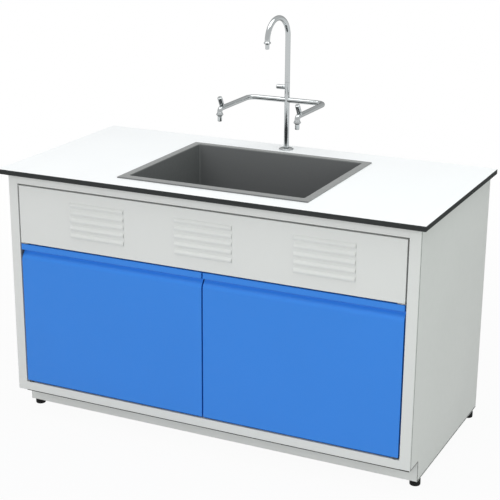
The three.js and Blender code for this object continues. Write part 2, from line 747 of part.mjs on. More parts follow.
// What carries and holds a door: an angle plate for the top pin, a washer under the bottom edge
// and a magnetic catch.
function addDoorFittings({ word, sign }) {
  const clear = (GAP - HINGE_PLATE) / 2;
  const tongueTop = PANEL_BOTTOM - clear;
  const legBottom = tongueTop - HINGE_PLATE_DROP;
  const angle = folded(
    [
      [MID_RAIL_FRONT, legBottom],
      [MID_RAIL_FRONT, tongueTop, HINGE_PLATE * 1.5],
      [CASE_FRONT + SHEET, tongueTop],
    ],
    HINGE_PLATE,
  );
  const half = HINGE_PLATE_WIDTH / 2;
  const hole = rod(PIVOT_HOLE_RADIUS, tongueTop - GAP, tongueTop + GAP, SMALL_ROUND);
  const bracket = cut(lengthways(angle, -half, half), hole.translate(0, PIVOT_Y, 0));
  const plate = place(unit, `${word}_hinge_plate`, bracket, finishes.zinc);
  plate.position.x = sign * PIVOT_X;

  const washer = ring(PIVOT_WASHER_RADIUS, PIVOT_HOLE_RADIUS, 0, PIVOT_WASHER_HEIGHT, SMALL_ROUND);
  const seat = place(unit, `${word}_pivot_washer`, washer, finishes.rubber);
  seat.position.set(sign * PIVOT_X, PIVOT_Y, OPENING_BOTTOM);

  const depth = MID_RAIL_FRONT - CASE_FRONT - DOOR_DEPTH - CATCH_GAP;
  const caseOutline = rectangle(CATCH_WIDTH, CATCH_HEIGHT, BEND_RADIUS);
  const catchBody = depthways(caseOutline, -depth, 0);
  const magnet = place(unit, `${word}_door_catch`, catchBody, finishes.pipe);
  const middle = PANEL_BOTTOM - MID_RAIL_SIZE / 2;
  magnet.position.set(DOOR_SPLIT + sign * CATCH_OFFSET, MID_RAIL_FRONT, middle);
}

function addFeet() {
  const quarter = (k) => (k * Math.PI) / 6;
  const rounded = Array.from({ length: 4 }, (_, k) => [
    FOOT_RADIUS - FOOT_ROUND + FOOT_ROUND * Math.sin(quarter(k)),
    FOOT_ROUND - FOOT_ROUND * Math.cos(quarter(k)),
  ]);
  const foot = turned([
    [0, 0],
    ...rounded,
    [FOOT_RADIUS, FOOT_HEIGHT],
    [STUD_RADIUS, FOOT_HEIGHT],
    [STUD_RADIUS, STUD_TOP],
    [0, STUD_TOP],
  ], SMALL_ROUND);
  const bottom = PLINTH_BOTTOM + SHEET;
  const nutTop = bottom + FOOT_PLATE + FOOT_NUT_HEIGHT;
  const reach = 2 * FOOT_RADIUS;
  const ends = [
    { word: "front", y: FOOT_FRONT_Y, from: PLINTH_FRONT + BEND_RADIUS, to: FOOT_FRONT_Y + reach },
    { word: "back", y: FOOT_BACK_Y, from: FOOT_BACK_Y - reach, to: INSIDE_BACK - BEND_RADIUS },
  ];
  for (const end of ends) {
    const plate = block(FOOT_PLATE_INNER, INSIDE_HALF, end.from, end.to, bottom, bottom + FOOT_PLATE);
    const nut = rod(FOOT_NUT_RADIUS, bottom, nutTop, 6).translate(FOOT_X, end.y, 0);
    const thread = rod(STUD_HOLE_RADIUS, PLINTH_BOTTOM, nutTop + SHEET, SMALL_ROUND);
    const carrier = cut(join(plate, nut), thread.translate(FOOT_X, end.y, 0));
    for (const { word, sign } of sides) {
      const shape = sign > 0 ? carrier : mirrored(carrier);
      place(unit, `foot_plate_${end.word}_${word}`, shape, finishes.zinc);
      const mesh = place(unit, `foot_${end.word}_${word}`, foot, finishes.rubber);
      mesh.position.set(sign * FOOT_X, end.y, 0);
    }
  }
}

// A four-sided funnel over the whole bowl, so that the floor falls from every wall to the waste.
function floorFall() {
  const corner = Math.SQRT1_2;
  const wasteShare = (2 * WASTE_FLANGE_RADIUS) / BOWL_DEPTH;
  const funnel = new THREE.CylinderGeometry(corner, corner * wasteShare, BOWL_FALL, 4, 1);
  funnel.rotateY(Math.PI / 4).rotateX(Math.PI / 2);
  funnel.scale(BOWL_WIDTH, BOWL_DEPTH, 1);
  return funnel.translate(0, 0, BOWL_FLOOR - BOWL_FALL / 2);
}

function addSink() {
  const sink = groupAt(unit, SINK_X, SINK_Y, 0);
  const rimTop = TOP_HEIGHT + RIM_HEIGHT;
  const outside = rectangle(BOWL_WIDTH + 2 * BOWL_WALL, BOWL_DEPTH + 2 * BOWL_WALL, BOWL_CORNER);
  const shell = upright(outside, BOWL_UNDERSIDE, rimTop);
  const rim = upright(rectangle(RIM_WIDTH, RIM_DEPTH, RIM_CORNER, 0, RIM_SHIFT), TOP_HEIGHT, rimTop);
  const inside = upright(rectangle(BOWL_WIDTH, BOWL_DEPTH, BOWL_CORNER), BOWL_FLOOR, rimTop + RIM_HEIGHT);
  const seatBottom = BOWL_FLOOR - BOWL_FALL - WASTE_FLANGE_HEIGHT;
  const seat = rod(WASTE_FLANGE_RADIUS + FIT, seatBottom, BOWL_FLOOR);
  const hole = rod(WASTE_HOLE_RADIUS, BOWL_UNDERSIDE - BOWL_WALL, BOWL_FLOOR);
  place(sink, "sink_bowl", cut(join(shell, rim), inside, floorFall(), seat, hole), finishes.sink);
  addWaste(sink, seatBottom);
  addTrap(sink);
}

function addWaste(sink, seatBottom) {
  const flangeTop = seatBottom + WASTE_FLANGE_HEIGHT;
  const gridSeat = flangeTop - GRID_HEIGHT;
  const fitting = turned([
    [WASTE_BORE_RADIUS, WASTE_TAIL_BOTTOM],
    [WASTE_TAIL_RADIUS, WASTE_TAIL_BOTTOM],
    [WASTE_TAIL_RADIUS, seatBottom],
    [WASTE_FLANGE_RADIUS, seatBottom],
    [WASTE_FLANGE_RADIUS - 1, flangeTop],
    [GRID_RADIUS + FIT, flangeTop],
    [GRID_RADIUS + FIT, gridSeat],
    [WASTE_BORE_RADIUS, gridSeat],
    [WASTE_BORE_RADIUS, WASTE_TAIL_BOTTOM],
  ]);
  place(sink, "waste_fitting", fitting, finishes.zinc);

  const grid = new THREE.Shape().absarc(0, 0, GRID_RADIUS, 0, 2 * Math.PI);
  const ringRadius = WASTE_BORE_RADIUS - GRID_HOLE_RADIUS - 2;
  const holeAt = (x, y) => new THREE.Path().absarc(x, y, GRID_HOLE_RADIUS, 0, 2 * Math.PI);
  grid.holes.push(holeAt(0, 0));
  for (let k = 0; k < GRID_HOLES; k += 1) {
    const angle = (2 * Math.PI * k) / GRID_HOLES;
    grid.holes.push(holeAt(ringRadius * Math.cos(angle), ringRadius * Math.sin(angle)));
  }
  place(sink, "waste_grid", upright(grid, gridSeat, flangeTop, 6), finishes.zinc);

  const gasketBottom = BOWL_UNDERSIDE - GASKET_HEIGHT;
  const gasket = ring(WASTE_NUT_RADIUS - 3, WASTE_TAIL_RADIUS + FIT, gasketBottom, BOWL_UNDERSIDE);
  place(sink, "waste_gasket", gasket, finishes.rubber);
  const nutBottom = gasketBottom - WASTE_NUT_HEIGHT;
  const nut = ringNut(WASTE_NUT_RADIUS, WASTE_TAIL_RADIUS + FIT, nutBottom, gasketBottom);
  place(sink, "waste_nut", nut, finishes.pipe);
}

function addTrap(sink) {
  const neckTop = WASTE_TAIL_BOTTOM - FIT;
  const shoulder = neckTop - TRAP_NECK;
  const threadBottom = TRAP_CUP_TOP - TRAP_THREAD_DEPTH;
  const bottle = turned([
    [0, threadBottom],
    [TRAP_THREAD_RADIUS, threadBottom],
    [TRAP_THREAD_RADIUS, TRAP_CUP_TOP + FIT],
    [TRAP_RADIUS, TRAP_CUP_TOP + FIT],
    [TRAP_RADIUS, shoulder - TRAP_SHOULDER],
    [TRAP_RADIUS - TRAP_SHOULDER, shoulder],
    [TRAP_NECK_RADIUS, shoulder],
    [TRAP_NECK_RADIUS, neckTop],
    [0, neckTop],
  ]);
  const stub = rod(TRAP_OUTLET_RADIUS, 0, TRAP_OUTLET_REACH).rotateX(-Math.PI / 2);
  place(sink, "trap_body", join(bottle, stub.translate(0, 0, TRAP_OUTLET_Z)), finishes.pipe);

  const bandBottom = TRAP_CUP_TOP - TRAP_CUP_BAND;
  const cup = turned([
    [0, TRAP_CUP_BOTTOM],
    [TRAP_CUP_FOOT, TRAP_CUP_BOTTOM],
    [TRAP_CUP_RADIUS - 2 * TRAP_CUP_STEP, TRAP_CUP_BOTTOM + 2 * TRAP_CUP_STEP],
    [TRAP_CUP_RADIUS - TRAP_CUP_STEP, bandBottom - TRAP_CUP_STEP],
    [TRAP_CUP_RADIUS, bandBottom],
    [TRAP_CUP_RADIUS, TRAP_CUP_TOP],
    [TRAP_THREAD_RADIUS + FIT, TRAP_CUP_TOP],
    [TRAP_THREAD_RADIUS + FIT, threadBottom - FIT],
    [TRAP_THREAD_RADIUS - TRAP_CUP_FLOOR, threadBottom - FIT],
    [TRAP_CUP_FOOT, TRAP_CUP_BOTTOM + TRAP_CUP_FLOOR],
    [0, TRAP_CUP_BOTTOM + TRAP_CUP_FLOOR],
  ]);
  place(sink, "trap_cup", cup, finishes.pipe);

  const nutTop = neckTop + TRAP_NUT_WALL;
  const nut = ringNut(WASTE_TAIL_RADIUS + TRAP_NUT_WALL, WASTE_TAIL_RADIUS + FIT, shoulder + FIT, nutTop);
  place(sink, "trap_inlet_nut", nut, finishes.pipe);

  const pipeStart = TRAP_OUTLET_REACH + FIT;
  const pipeLength = WASTE_PIPE_END - SINK_Y - pipeStart;
  const outlet = ring(WASTE_PIPE_RADIUS, WASTE_PIPE_BORE, 0, pipeLength).rotateX(-Math.PI / 2);
  place(sink, "waste_pipe", outlet.translate(0, pipeStart, TRAP_OUTLET_Z), finishes.pipe);
  const collar = ringNut(TRAP_OUTLET_RADIUS + TRAP_NUT_WALL, TRAP_OUTLET_RADIUS + FIT, 0, TRAP_COLLAR);
  const collarStart = TRAP_OUTLET_REACH - TRAP_COLLAR / 2;
  const turnedBack = collar.rotateX(-Math.PI / 2).translate(0, collarStart, TRAP_OUTLET_Z);
  place(sink, "trap_outlet_nut", turnedBack, finishes.pipe);
}

// A hose nozzle that hangs from z = 0: a round collar over a short bored tip.
function nozzle({ tube, collar, collarBottom, tip, length }) {
  const bore = tip - NOZZLE_WALL;
  const tipTop = collarBottom + NOZZLE_TAPER;
  return turned([
    [0, 0],
    [tube, 0],
    [collar, -NOZZLE_COLLAR_TOP],
    [collar, -collarBottom],
    [tip, -tipTop],
    [tip, NOZZLE_CHAMFER - length],
    [tip - NOZZLE_CHAMFER, -length],
    [bore, -length],
    [bore, -tipTop],
    [0, -tipTop],
  ], SMALL_ROUND);
}

// A knob on its own axis, from start to end along +Z, rounded at the outer end.
function knob(radius, start, end) {
  const rounded = Array.from({ length: 4 }, (_, k) => [
    radius - KNOB_ROUND + KNOB_ROUND * Math.cos((k * Math.PI) / 6),
    end - KNOB_ROUND + KNOB_ROUND * Math.sin((k * Math.PI) / 6),
  ]);
  return turned([[0, start], [radius, start], ...rounded, [0, end]], SMALL_ROUND);
}

function addTap() {
  const tap = groupAt(unit, 0, TAP_Y, TOP_HEIGHT);
  addTapBase(tap);
  addColumn(tap);
  addGooseneck(tap);
  sides.forEach((side) => addArm(tap, side));
}

function addTapBase(tap) {
  const shankTop = FLANGE_SEAT - FIT;
  const flange = turned([
    [SHANK_RADIUS + FIT, 0],
    [FLANGE_RADIUS, 0],
    [FLANGE_RADIUS, FLANGE_EDGE],
    [FLANGE_RADIUS - FLANGE_EDGE, 2 * FLANGE_EDGE],
    [FLANGE_RADIUS - 3 * FLANGE_EDGE, FLANGE_HEIGHT - FLANGE_EDGE / 2],
    [COLUMN_RADIUS + FLANGE_EDGE, FLANGE_HEIGHT],
    [COLUMN_RADIUS + FIT, FLANGE_HEIGHT],
    [COLUMN_RADIUS + FIT, FLANGE_SEAT],
    [SHANK_RADIUS + FIT, FLANGE_SEAT],
    [SHANK_RADIUS + FIT, 0],
  ]);
  place(tap, "tap_flange", flange, finishes.chrome);

  const shank = turned([
    [SHANK_BORE, SHANK_BOTTOM],
    [SHANK_RADIUS - 1, SHANK_BOTTOM],
    [SHANK_RADIUS, SHANK_BOTTOM + 1],
    [SHANK_RADIUS, shankTop],
    [0, shankTop],
    [0, shankTop - 2 * FLANGE_SEAT],
    [SHANK_BORE, shankTop - 2 * FLANGE_SEAT],
    [SHANK_BORE, SHANK_BOTTOM],
  ], SMALL_ROUND);
  place(tap, "tap_shank", shank, finishes.zinc);

  const underside = TOP_UNDERSIDE - TOP_HEIGHT;
  const hexagon = rod(BACKNUT_RADIUS, underside - BACKNUT_HEIGHT, underside, 6);
  const thread = rod(SHANK_RADIUS + FIT, underside - 2 * BACKNUT_HEIGHT, 0, SMALL_ROUND);
  place(tap, "tap_backnut", cut(hexagon, thread), finishes.zinc);
}

function addColumn(tap) {
  const tube = rod(COLUMN_RADIUS, FLANGE_SEAT, COLUMN_TOP);
  const boss = rod(MAIN_KNOB_RADIUS, 0, MAIN_BOSS_END, SMALL_ROUND).rotateY(-Math.PI / 2);
  boss.translate(0, 0, MAIN_KNOB_Z);
  const socket = rod(SPIGOT_RADIUS + FIT, COLUMN_TOP - SPIGOT_LENGTH - FIT, COLUMN_TOP + FIT);
  place(tap, "tap_column", cut(join(tube, boss), socket), finishes.chrome);

  const handle = knob(MAIN_KNOB_RADIUS, MAIN_BOSS_END + KNOB_SEAM, MAIN_KNOB_END);
  const mesh = place(tap, "main_valve_knob", handle, finishes.chrome);
  mesh.position.z = MAIN_KNOB_Z;
  mesh.rotation.y = -Math.PI / 2;
}

function addGooseneck(tap) {
  const neck = groupAt(tap, 0, 0, 0);
  neck.rotation.z = ARCH_TURN;
  const crown = ARCH_START + ARCH_RADIUS;
  const reach = 2 * ARCH_RADIUS;
  const tube = pipe([
    { at: at(0, 0, COLUMN_TOP + SWIVEL_SEAM) },
    { at: at(0, 0, crown), bend: ARCH_RADIUS },
    { at: at(0, -reach, crown), bend: ARCH_RADIUS },
    { at: at(0, -reach, ARCH_START) },
  ], COLUMN_RADIUS, 12);
  const spigot = rod(SPIGOT_RADIUS, COLUMN_TOP - SPIGOT_LENGTH, COLUMN_TOP + 2 * SWIVEL_SEAM, SMALL_ROUND);
  place(neck, "gooseneck", join(tube, spigot), finishes.chrome);

  const tip = place(neck, "gooseneck_nozzle", nozzle(GOOSENECK_NOZZLE), finishes.chrome);
  tip.position.set(0, -reach, ARCH_START - FIT);
}

function addArm(tap, { word, sign }) {
  const end = ARM_Z - ELBOW_BEND;
  const tube = pipe([
    { at: at(0, 0, ARM_Z) },
    { at: at(sign * ARM_HALF_SPAN, 0, ARM_Z), bend: ARM_BEND },
    { at: at(sign * ARM_HALF_SPAN, -ARM_REACH, ARM_Z), bend: ELBOW_BEND },
    { at: at(sign * ARM_HALF_SPAN, -ARM_REACH, end) },
  ], ARM_RADIUS, 6);
  const saddle = rod(COLUMN_RADIUS + FIT, 0, 2 * ARM_Z);
  const boss = rod(SIDE_KNOB_RADIUS, 0, SIDE_BOSS_END, SMALL_ROUND).rotateX(SIDE_KNOB_LEAN);
  boss.translate(sign * ARM_HALF_SPAN, SIDE_KNOB_SETBACK - ARM_REACH, ARM_Z);
  place(tap, `tap_arm_${word}`, cut(join(tube, boss), saddle), finishes.chrome);

  const handle = knob(SIDE_KNOB_RADIUS, SIDE_BOSS_END + KNOB_SEAM, SIDE_KNOB_END);
  const mesh = place(tap, `side_valve_knob_${word}`, handle, finishes.chrome);
  mesh.position.set(sign * ARM_HALF_SPAN, SIDE_KNOB_SETBACK - ARM_REACH, ARM_Z);
  mesh.rotation.x = SIDE_KNOB_LEAN;

  const tip = place(tap, `tap_nozzle_${word}`, nozzle(SIDE_NOZZLE), finishes.chrome);
  tip.position.set(sign * ARM_HALF_SPAN, -ARM_REACH, end - FIT);
}

addWorktop();
addSidePanels();
addCrossMembers();
addFloorAndBack();
addSinkBearers();
addLouvrePanel();
for (const side of sides) {
  addDoor(side);
  addDoorFittings(side);
}
addFeet();
addSink();
addTap();

export default unit;
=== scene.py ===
"""Looks of a laboratory sink unit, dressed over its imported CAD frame.

Metres, +Z up, the front faces -Y, the origin is on the floor under the worktop's centre.
"""

import json
import math

import bmesh
import bpy
from mathutils import Matrix, Vector


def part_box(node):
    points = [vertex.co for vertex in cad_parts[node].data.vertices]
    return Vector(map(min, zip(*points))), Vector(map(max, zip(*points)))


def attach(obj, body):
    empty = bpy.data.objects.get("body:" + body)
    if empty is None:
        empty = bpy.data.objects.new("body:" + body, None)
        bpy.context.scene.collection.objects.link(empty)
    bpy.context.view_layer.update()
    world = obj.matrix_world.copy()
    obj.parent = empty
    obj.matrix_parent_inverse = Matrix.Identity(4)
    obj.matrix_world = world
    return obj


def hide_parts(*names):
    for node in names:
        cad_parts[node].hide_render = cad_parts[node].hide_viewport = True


# Camera, worked out from the photograph's perspective
CAMERA_AT = (1.88786, -3.96678, 2.02046)
CAMERA_PITCH = math.radians(71.331)
CAMERA_YAW = math.radians(26.599)
LENS_MM = 96.919
SENSOR_MM = 36.0
CAMERA_SHIFT = (0.0570, 0.0430)

# Light
WHITE = (1, 1, 1, 1)
AMBIENT = 0.38
MIRRORED = 0.62
TOP_POWER = 100.0
TOP_SIZE = (5.4, 2.6)
TOP_AT = (-0.1, -0.4, 4.4)
TOP_AIM = (-0.2, -0.1, 0.9)
FRONT_POWER = 112.0
FRONT_SIZE = (5.0, 3.0)
FRONT_AT = (0.1, -4.8, 2.0)
FRONT_AIM = (0.0, -0.35, 0.5)
SIDE_POWER = 15.0
SIDE_SIZE = (1.2, 1.2)
SIDE_AT = (3.05, -1.0, 1.6)
SIDE_AIM = (0.73, -0.3, 0.5)
SIDE_TINT = (0.86, 1.0, 0.90)
BACK_POWER = 42.0
BACK_SIZE = (1.4, 2.4)
BACK_AT = (0.0, 5.0, 1.4)
BACK_AIM = (0.0, 0.37, 0.5)
FLOOR_GREY = 0.55
FLOOR_GLOW = 0.95
FLOOR_FADE = (1.3, 3.6)
FLOOR_HALF = 20.0

# Finishes: linear colours under plain white light, shine, and a grain's stretch along each axis
CASING_GREY = (0.715, 0.730, 0.715)
DOOR_BLUE = (0.028, 0.222, 0.742)
DECOR_WHITE = (0.930, 0.955, 0.965)
CORE_BLACK = (0.040, 0.043, 0.043)
CORE_SHINE = 0.03
CORE_LAYERS = (0.05, 0.05, 9.0)
CHROME = (0.530, 0.556, 0.560)
CHROME_EDGE = (0.45, 0.45, 0.45)
STEEL = (0.560, 0.570, 0.580)
STEEL_STROKES = (1.0, 1.0, 0.05)
RUBBER_BLACK = (0.006, 0.0065, 0.0065)
# Grey of the pivot washers, also used to paint the shade in the left door's groove end
WASHER_GREY_AND_GROOVE_SHADE = (0.085, 0.095, 0.110)
# Dark blue that paints the shade in the gap under the doors
DOOR_GAP_SHADE_BLUE = (0.012, 0.085, 0.300)
RUBBER_SHINE = 0.2
PIPE_WHITE = (0.780, 0.780, 0.740)

# Sink greys with painted shade, the bowl darker than the rim's top and a darker band on the rim's
# front edge, and how far below the rim's top or behind its front one grey turns into the next
SINK_BOWL_SHADE_GREY = (0.145, 0.151, 0.153)
SINK_RIM_GREY = (0.250, 0.260, 0.257)
SINK_LIP_SHADE_GREY = (0.122, 0.128, 0.130)
SINK_BOWL_SHADE_FADE = (0.0040, 0.0028)
SINK_LIP_SHADE_FADE = (0.0030, 0.0022)
SINK_LIP_SHADE_DEPTH = (0.0050, 0.0075)
SINK_GRAIN = 0.07

# Textures, edges and shading
NOISE_RANGE = (0.3, 0.7)
WELD = 0.00001
FLAT_ANGLE = math.radians(1)
SHARP_ANGLE = math.radians(35)
EDGE_ROUND = 0.0005
EDGE_STEPS = 2
SINK_ROUND = 0.0006
ROUND_STEPS = 5
ROUND_REACH = 0.45
TURN_STEPS = 64
PIPE_SIDES = 48
BEND_STEPS = 20

# Tap sizes that no box of the frame gives, and shares of a piece's own radius and height
ARM_RADIUS = 0.00875
ARM_BEND = 0.030
ELBOW_BEND = 0.012
SIDE_KNOB_RADIUS = 0.00825
SIDE_KNOB_LEAN = math.radians(31)
SIDE_KNOB_SETBACK = 0.022
SIDE_BOSS_END = 0.0155
SIDE_KNOB_END = 0.0455
TAP_SEAM = 0.0005
KNOB_ROUND = 0.0025
SPIGOT_RADIUS = 0.0065
SPIGOT_OVERLAP = 0.010
NOZZLE_WALL = 0.003
NOZZLE_SHOULDER = 0.8
NOZZLE_TAPER = 0.0035
NOZZLE_ROUND = 0.002
SPOUT_NOZZLE = {"tip": 0.007, "collar_bottom": 0.007}
ARM_NOZZLE = {"tip": 0.0075, "collar_bottom": 0.009}
FLANGE_SHARES = ((1, 0), (1, 0.4), (0.8, 0.8), (0.5, 1), (0, 1))
FLANGE_ROUND = 0.004
SHANK_BORE = 0.007
SHANK_BORE_TOP = 0.9
SHANK_THREAD_TOP = 0.75
SHANK_NECK = (0.76, 0.78)

# Louvres of the pressed panel, with the section of their openings measured from the lip
LOUVRE_CENTRES = (-0.383, 0.010, 0.426)
LOUVRE_ROWS = 5
LOUVRE_PITCH = 0.0265
LOUVRE_LIP = 0.794
LOUVRE_HALF = 0.1015
LOUVRE_SLOPE = 1.25
LOUVRE_SWELL = 1.3
LOUVRE_OPENING = {"out": 0.0033, "foot": 0.0010, "crown": 0.0066, "height": 0.0143}
LOUVRE_SKIRT = 0.0002
LOUVRE_BEYOND = 0.002

# Doors: the top lip, the finger groove under it, a grey strip that paints the shade in the groove's
# end, and a dark blue strip under the foot that paints the shade in the gap below
DOOR_SHEET = 0.00125
DOOR_LIP = 0.0215
LIP_ROUND = 0.004
GROOVE_HEIGHT = 0.034
GROOVE_DEPTH = 0.0115
GROOVE_SWELL = 1.35
GROOVE_TURN = 0.6
GROOVE_SHADE_CLEAR = 0.0003
GROOVE_SHADE_WIDTH = 0.001
GAP_SHADE_SETBACK = 0.004
GAP_SHADE_THICKNESS = 0.00125
GAP_SHADE_DROP = 0.0045
GAP_SHADE_CLEAR = 0.014

# Black strips that paint shadow lines along the casing's cut edges, and the shadow of the seams
# behind its front corners
SHADOW_LINE_HEIGHT = 0.0024
SHADOW_LINE_PROUD = 0.00015
SHADOW_LINE_DEPTH = 0.0006
HEM_HEIGHT = 0.0024
RAIL_SHADOW_LINE = 0.0011
CORNER_SHADOW_LINE = 0.0022
SEAM_SHADOW_SETBACK = 0.0055
SEAM_SHADOW_WIDTH = 0.0024
BEND_RADIUS = 0.003

# Feet, threads and screws, with a screw head's section in shares of its radius and height
FOOT_HEIGHT = 0.0235
FOOT_ROUND = 0.004
STUD_RADIUS = 0.006
THREAD_PITCH = 0.00175
THREAD_DEPTH = 0.0009
THREAD_LEAD = 0.001
SCREW_RADIUS = 0.004
SCREW_HEIGHT = 0.0016
SCREW_SHARES = ((1, 0), (0.96, 0.5), (0.75, 1), (0.45, 1), (0.45, 0.3))
SOCKET_SIDES = 6
SOCKET_STEPS = 4
BACK_SCREW_ROWS = 5
BACK_SCREW_INSET = 0.011
HINGE_SHEET = 0.002
HINGE_SCREW_HEIGHT = 0.009
HINGE_SCREW_OFFSET = 0.007

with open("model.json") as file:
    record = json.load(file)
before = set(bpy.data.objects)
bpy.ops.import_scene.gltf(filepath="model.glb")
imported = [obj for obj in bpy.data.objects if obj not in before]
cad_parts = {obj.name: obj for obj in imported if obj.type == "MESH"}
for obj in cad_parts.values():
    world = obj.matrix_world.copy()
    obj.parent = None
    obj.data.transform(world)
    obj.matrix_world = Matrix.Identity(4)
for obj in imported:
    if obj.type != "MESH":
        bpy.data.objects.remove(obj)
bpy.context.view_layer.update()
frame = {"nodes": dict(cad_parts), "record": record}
nodes = frame["nodes"]
slot_of = {part["node"]: part["material_slot"] for part in frame["record"]["subparts"]}
bodies = frame["record"]["behaviour"]["bodies"]
body_of = {node: name for name, group in bodies.items() for node in group}


# Shader nodes


def feed(tree, socket, value):
    """Links a socket to another one, or sets it to a plain value."""
    if isinstance(value, bpy.types.NodeSocket):
        tree.links.new(value, socket)
    else:
        socket.default_value = value


def spread(tree, value, source, target=(0, 1)):
    """A value with one range of it stretched over another, and held beyond the ends."""
    node = tree.nodes.new("ShaderNodeMapRange")
    node.inputs["From Min"].default_value, node.inputs["From Max"].default_value = source
    node.inputs["To Min"].default_value, node.inputs["To Max"].default_value = target
    tree.links.new(value, node.inputs["Value"])
    return node.outputs["Result"]


def maths(tree, operation, first, second):
    node = tree.nodes.new("ShaderNodeMath")
    node.operation = operation
    feed(tree, node.inputs[0], first)
    feed(tree, node.inputs[1], second)
    return node.outputs["Value"]


def blended(tree, share, first, second):
    """One shader where the share is 0 and another where it is 1."""
    node = tree.nodes.new("ShaderNodeMixShader")
    for socket, source in zip(node.inputs, (share, first, second)):
        tree.links.new(source, socket)
    return node.outputs["Shader"]


def looked_at(tree, mirrored=1.0):
    """1 for rays from the camera or through glass, a share for mirrored ones, or else 0."""
    path = tree.nodes.new("ShaderNodeLightPath")
    mirror = maths(tree, "MULTIPLY", path.outputs["Is Glossy Ray"], mirrored)
    seen = maths(tree, "MAXIMUM", path.outputs["Is Camera Ray"], mirror)
    return maths(tree, "MAXIMUM", seen, path.outputs["Is Transmission Ray"])


# Materials


class Finish:
    """A procedural material whose texture is set in the object's own metres."""

    def __init__(self, name, colour, metallic=0.0):
        self.material = bpy.data.materials.new(name)
        self.material.use_nodes = True
        self.tree = self.material.node_tree
        self.shader = self.tree.nodes["Principled BSDF"]
        self.shader.inputs["Base Color"].default_value = (*colour, 1)
        self.shader.inputs["Metallic"].default_value = metallic
        self.colour = colour
        self.place = self.tree.nodes.new("ShaderNodeTexCoord").outputs["Object"]

    def stretched(self, scale):
        mapping = self.tree.nodes.new("ShaderNodeMapping")
        mapping.inputs["Scale"].default_value = scale
        self.tree.links.new(self.place, mapping.inputs["Vector"])
        return mapping.outputs["Vector"]

    def noise(self, per_metre, detail=2.0, place=None):
        texture = self.tree.nodes.new("ShaderNodeTexNoise")
        texture.inputs["Scale"].default_value = per_metre
        texture.inputs["Detail"].default_value = detail
        self.tree.links.new(place or self.place, texture.inputs["Vector"])
        return texture.outputs["Fac"]

    def rising(self, axis, low, high):
        """0 below one place on an axis and 1 above another."""
        axes = self.tree.nodes.new("ShaderNodeSeparateXYZ")
        self.tree.links.new(self.place, axes.inputs["Vector"])
        return spread(self.tree, axes.outputs[axis], (low, high))

    def mix(self, factor, low, high):
        """Colour low where the factor is 0 and high where it is 1, each a colour or a socket."""
        node = self.tree.nodes.new("ShaderNodeMix")
        node.data_type = "RGBA"
        self.tree.links.new(factor, node.inputs["Factor"])
        feed(self.tree, node.inputs["A"], low)
        feed(self.tree, node.inputs["B"], high)
        return node.outputs["Result"]

    def shaded(self, value, colour, amount):
        """A colour that a noise value takes darker and lighter by a share of itself."""
        dark = [channel * (1 - amount) for channel in colour]
        light = [min(channel * (1 + amount), 1) for channel in colour]
        return self.mix(spread(self.tree, value, NOISE_RANGE), (*dark, 1), (*light, 1))

    def paint(self, colour):
        self.tree.links.new(colour, self.shader.inputs["Base Color"])

    def vary_colour(self, value, amount):
        self.paint(self.shaded(value, self.colour, amount))

    def vary_roughness(self, value, low, high):
        roughness = spread(self.tree, value, NOISE_RANGE, (low, high))
        self.tree.links.new(roughness, self.shader.inputs["Roughness"])

    def emboss(self, value, height, strength):
        bump = self.tree.nodes.new("ShaderNodeBump")
        bump.inputs["Strength"].default_value = strength
        bump.inputs["Distance"].default_value = height
        self.tree.links.new(value, bump.inputs["Height"])
        self.tree.links.new(bump.outputs["Normal"], self.shader.inputs["Normal"])


def powder_coat(name, colour):
    finish = Finish(name, colour)
    finish.vary_colour(finish.noise(per_metre=3.0), amount=0.012)
    finish.vary_roughness(finish.noise(per_metre=40.0), low=0.38, high=0.48)
    finish.emboss(finish.noise(per_metre=700.0), height=0.00004, strength=0.35)
    return finish.material


def laminate():
    finish = Finish("decor_white", DECOR_WHITE)
    finish.vary_colour(finish.noise(per_metre=5.0), amount=0.006)
    finish.vary_roughness(finish.noise(per_metre=60.0), low=0.32, high=0.42)
    finish.emboss(finish.noise(per_metre=1100.0), height=0.00003, strength=0.3)
    return finish.material


def solid_core():
    finish = Finish("core_black", CORE_BLACK)
    finish.shader.inputs["Specular IOR Level"].default_value = CORE_SHINE
    layers = finish.noise(per_metre=120.0, detail=3.0, place=finish.stretched(CORE_LAYERS))
    finish.vary_colour(layers, amount=0.25)
    finish.vary_roughness(finish.noise(per_metre=300.0), low=0.55, high=0.7)
    finish.emboss(layers, height=0.00003, strength=0.3)
    return finish.material


def moulded_sink():
    """A speckled composite with painted shade: darker in the bowl than on the rim's top, and a
    darker band on the rim's front edge.
    """
    finish = Finish("sink_grey", SINK_BOWL_SHADE_GREY)
    grain = finish.noise(per_metre=1600.0, detail=3.0)
    greys = (SINK_BOWL_SHADE_GREY, SINK_LIP_SHADE_GREY, SINK_RIM_GREY)
    bowl, lip, rim = [finish.shaded(grain, grey, SINK_GRAIN) for grey in greys]
    low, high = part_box("sink_bowl")
    # Painted shade: the bowl's grey below the rim's top, and a darker band over the top and upper
    # face of the rim's front edge
    lip_shade_height = finish.rising("Z", *[high.z - drop for drop in SINK_LIP_SHADE_FADE])
    bowl_shade_height = finish.rising("Z", *[high.z - drop for drop in SINK_BOWL_SHADE_FADE])
    lip_shade_depth = finish.rising("Y", *[low.y + depth for depth in SINK_LIP_SHADE_DEPTH])
    front = finish.mix(lip_shade_height, rim, lip)
    behind = finish.mix(bowl_shade_height, bowl, rim)
    finish.paint(finish.mix(lip_shade_depth, front, behind))
    finish.vary_roughness(finish.noise(per_metre=90.0), low=0.42, high=0.56)
    finish.emboss(finish.noise(per_metre=900.0), height=0.00003, strength=0.3)
    return finish.material


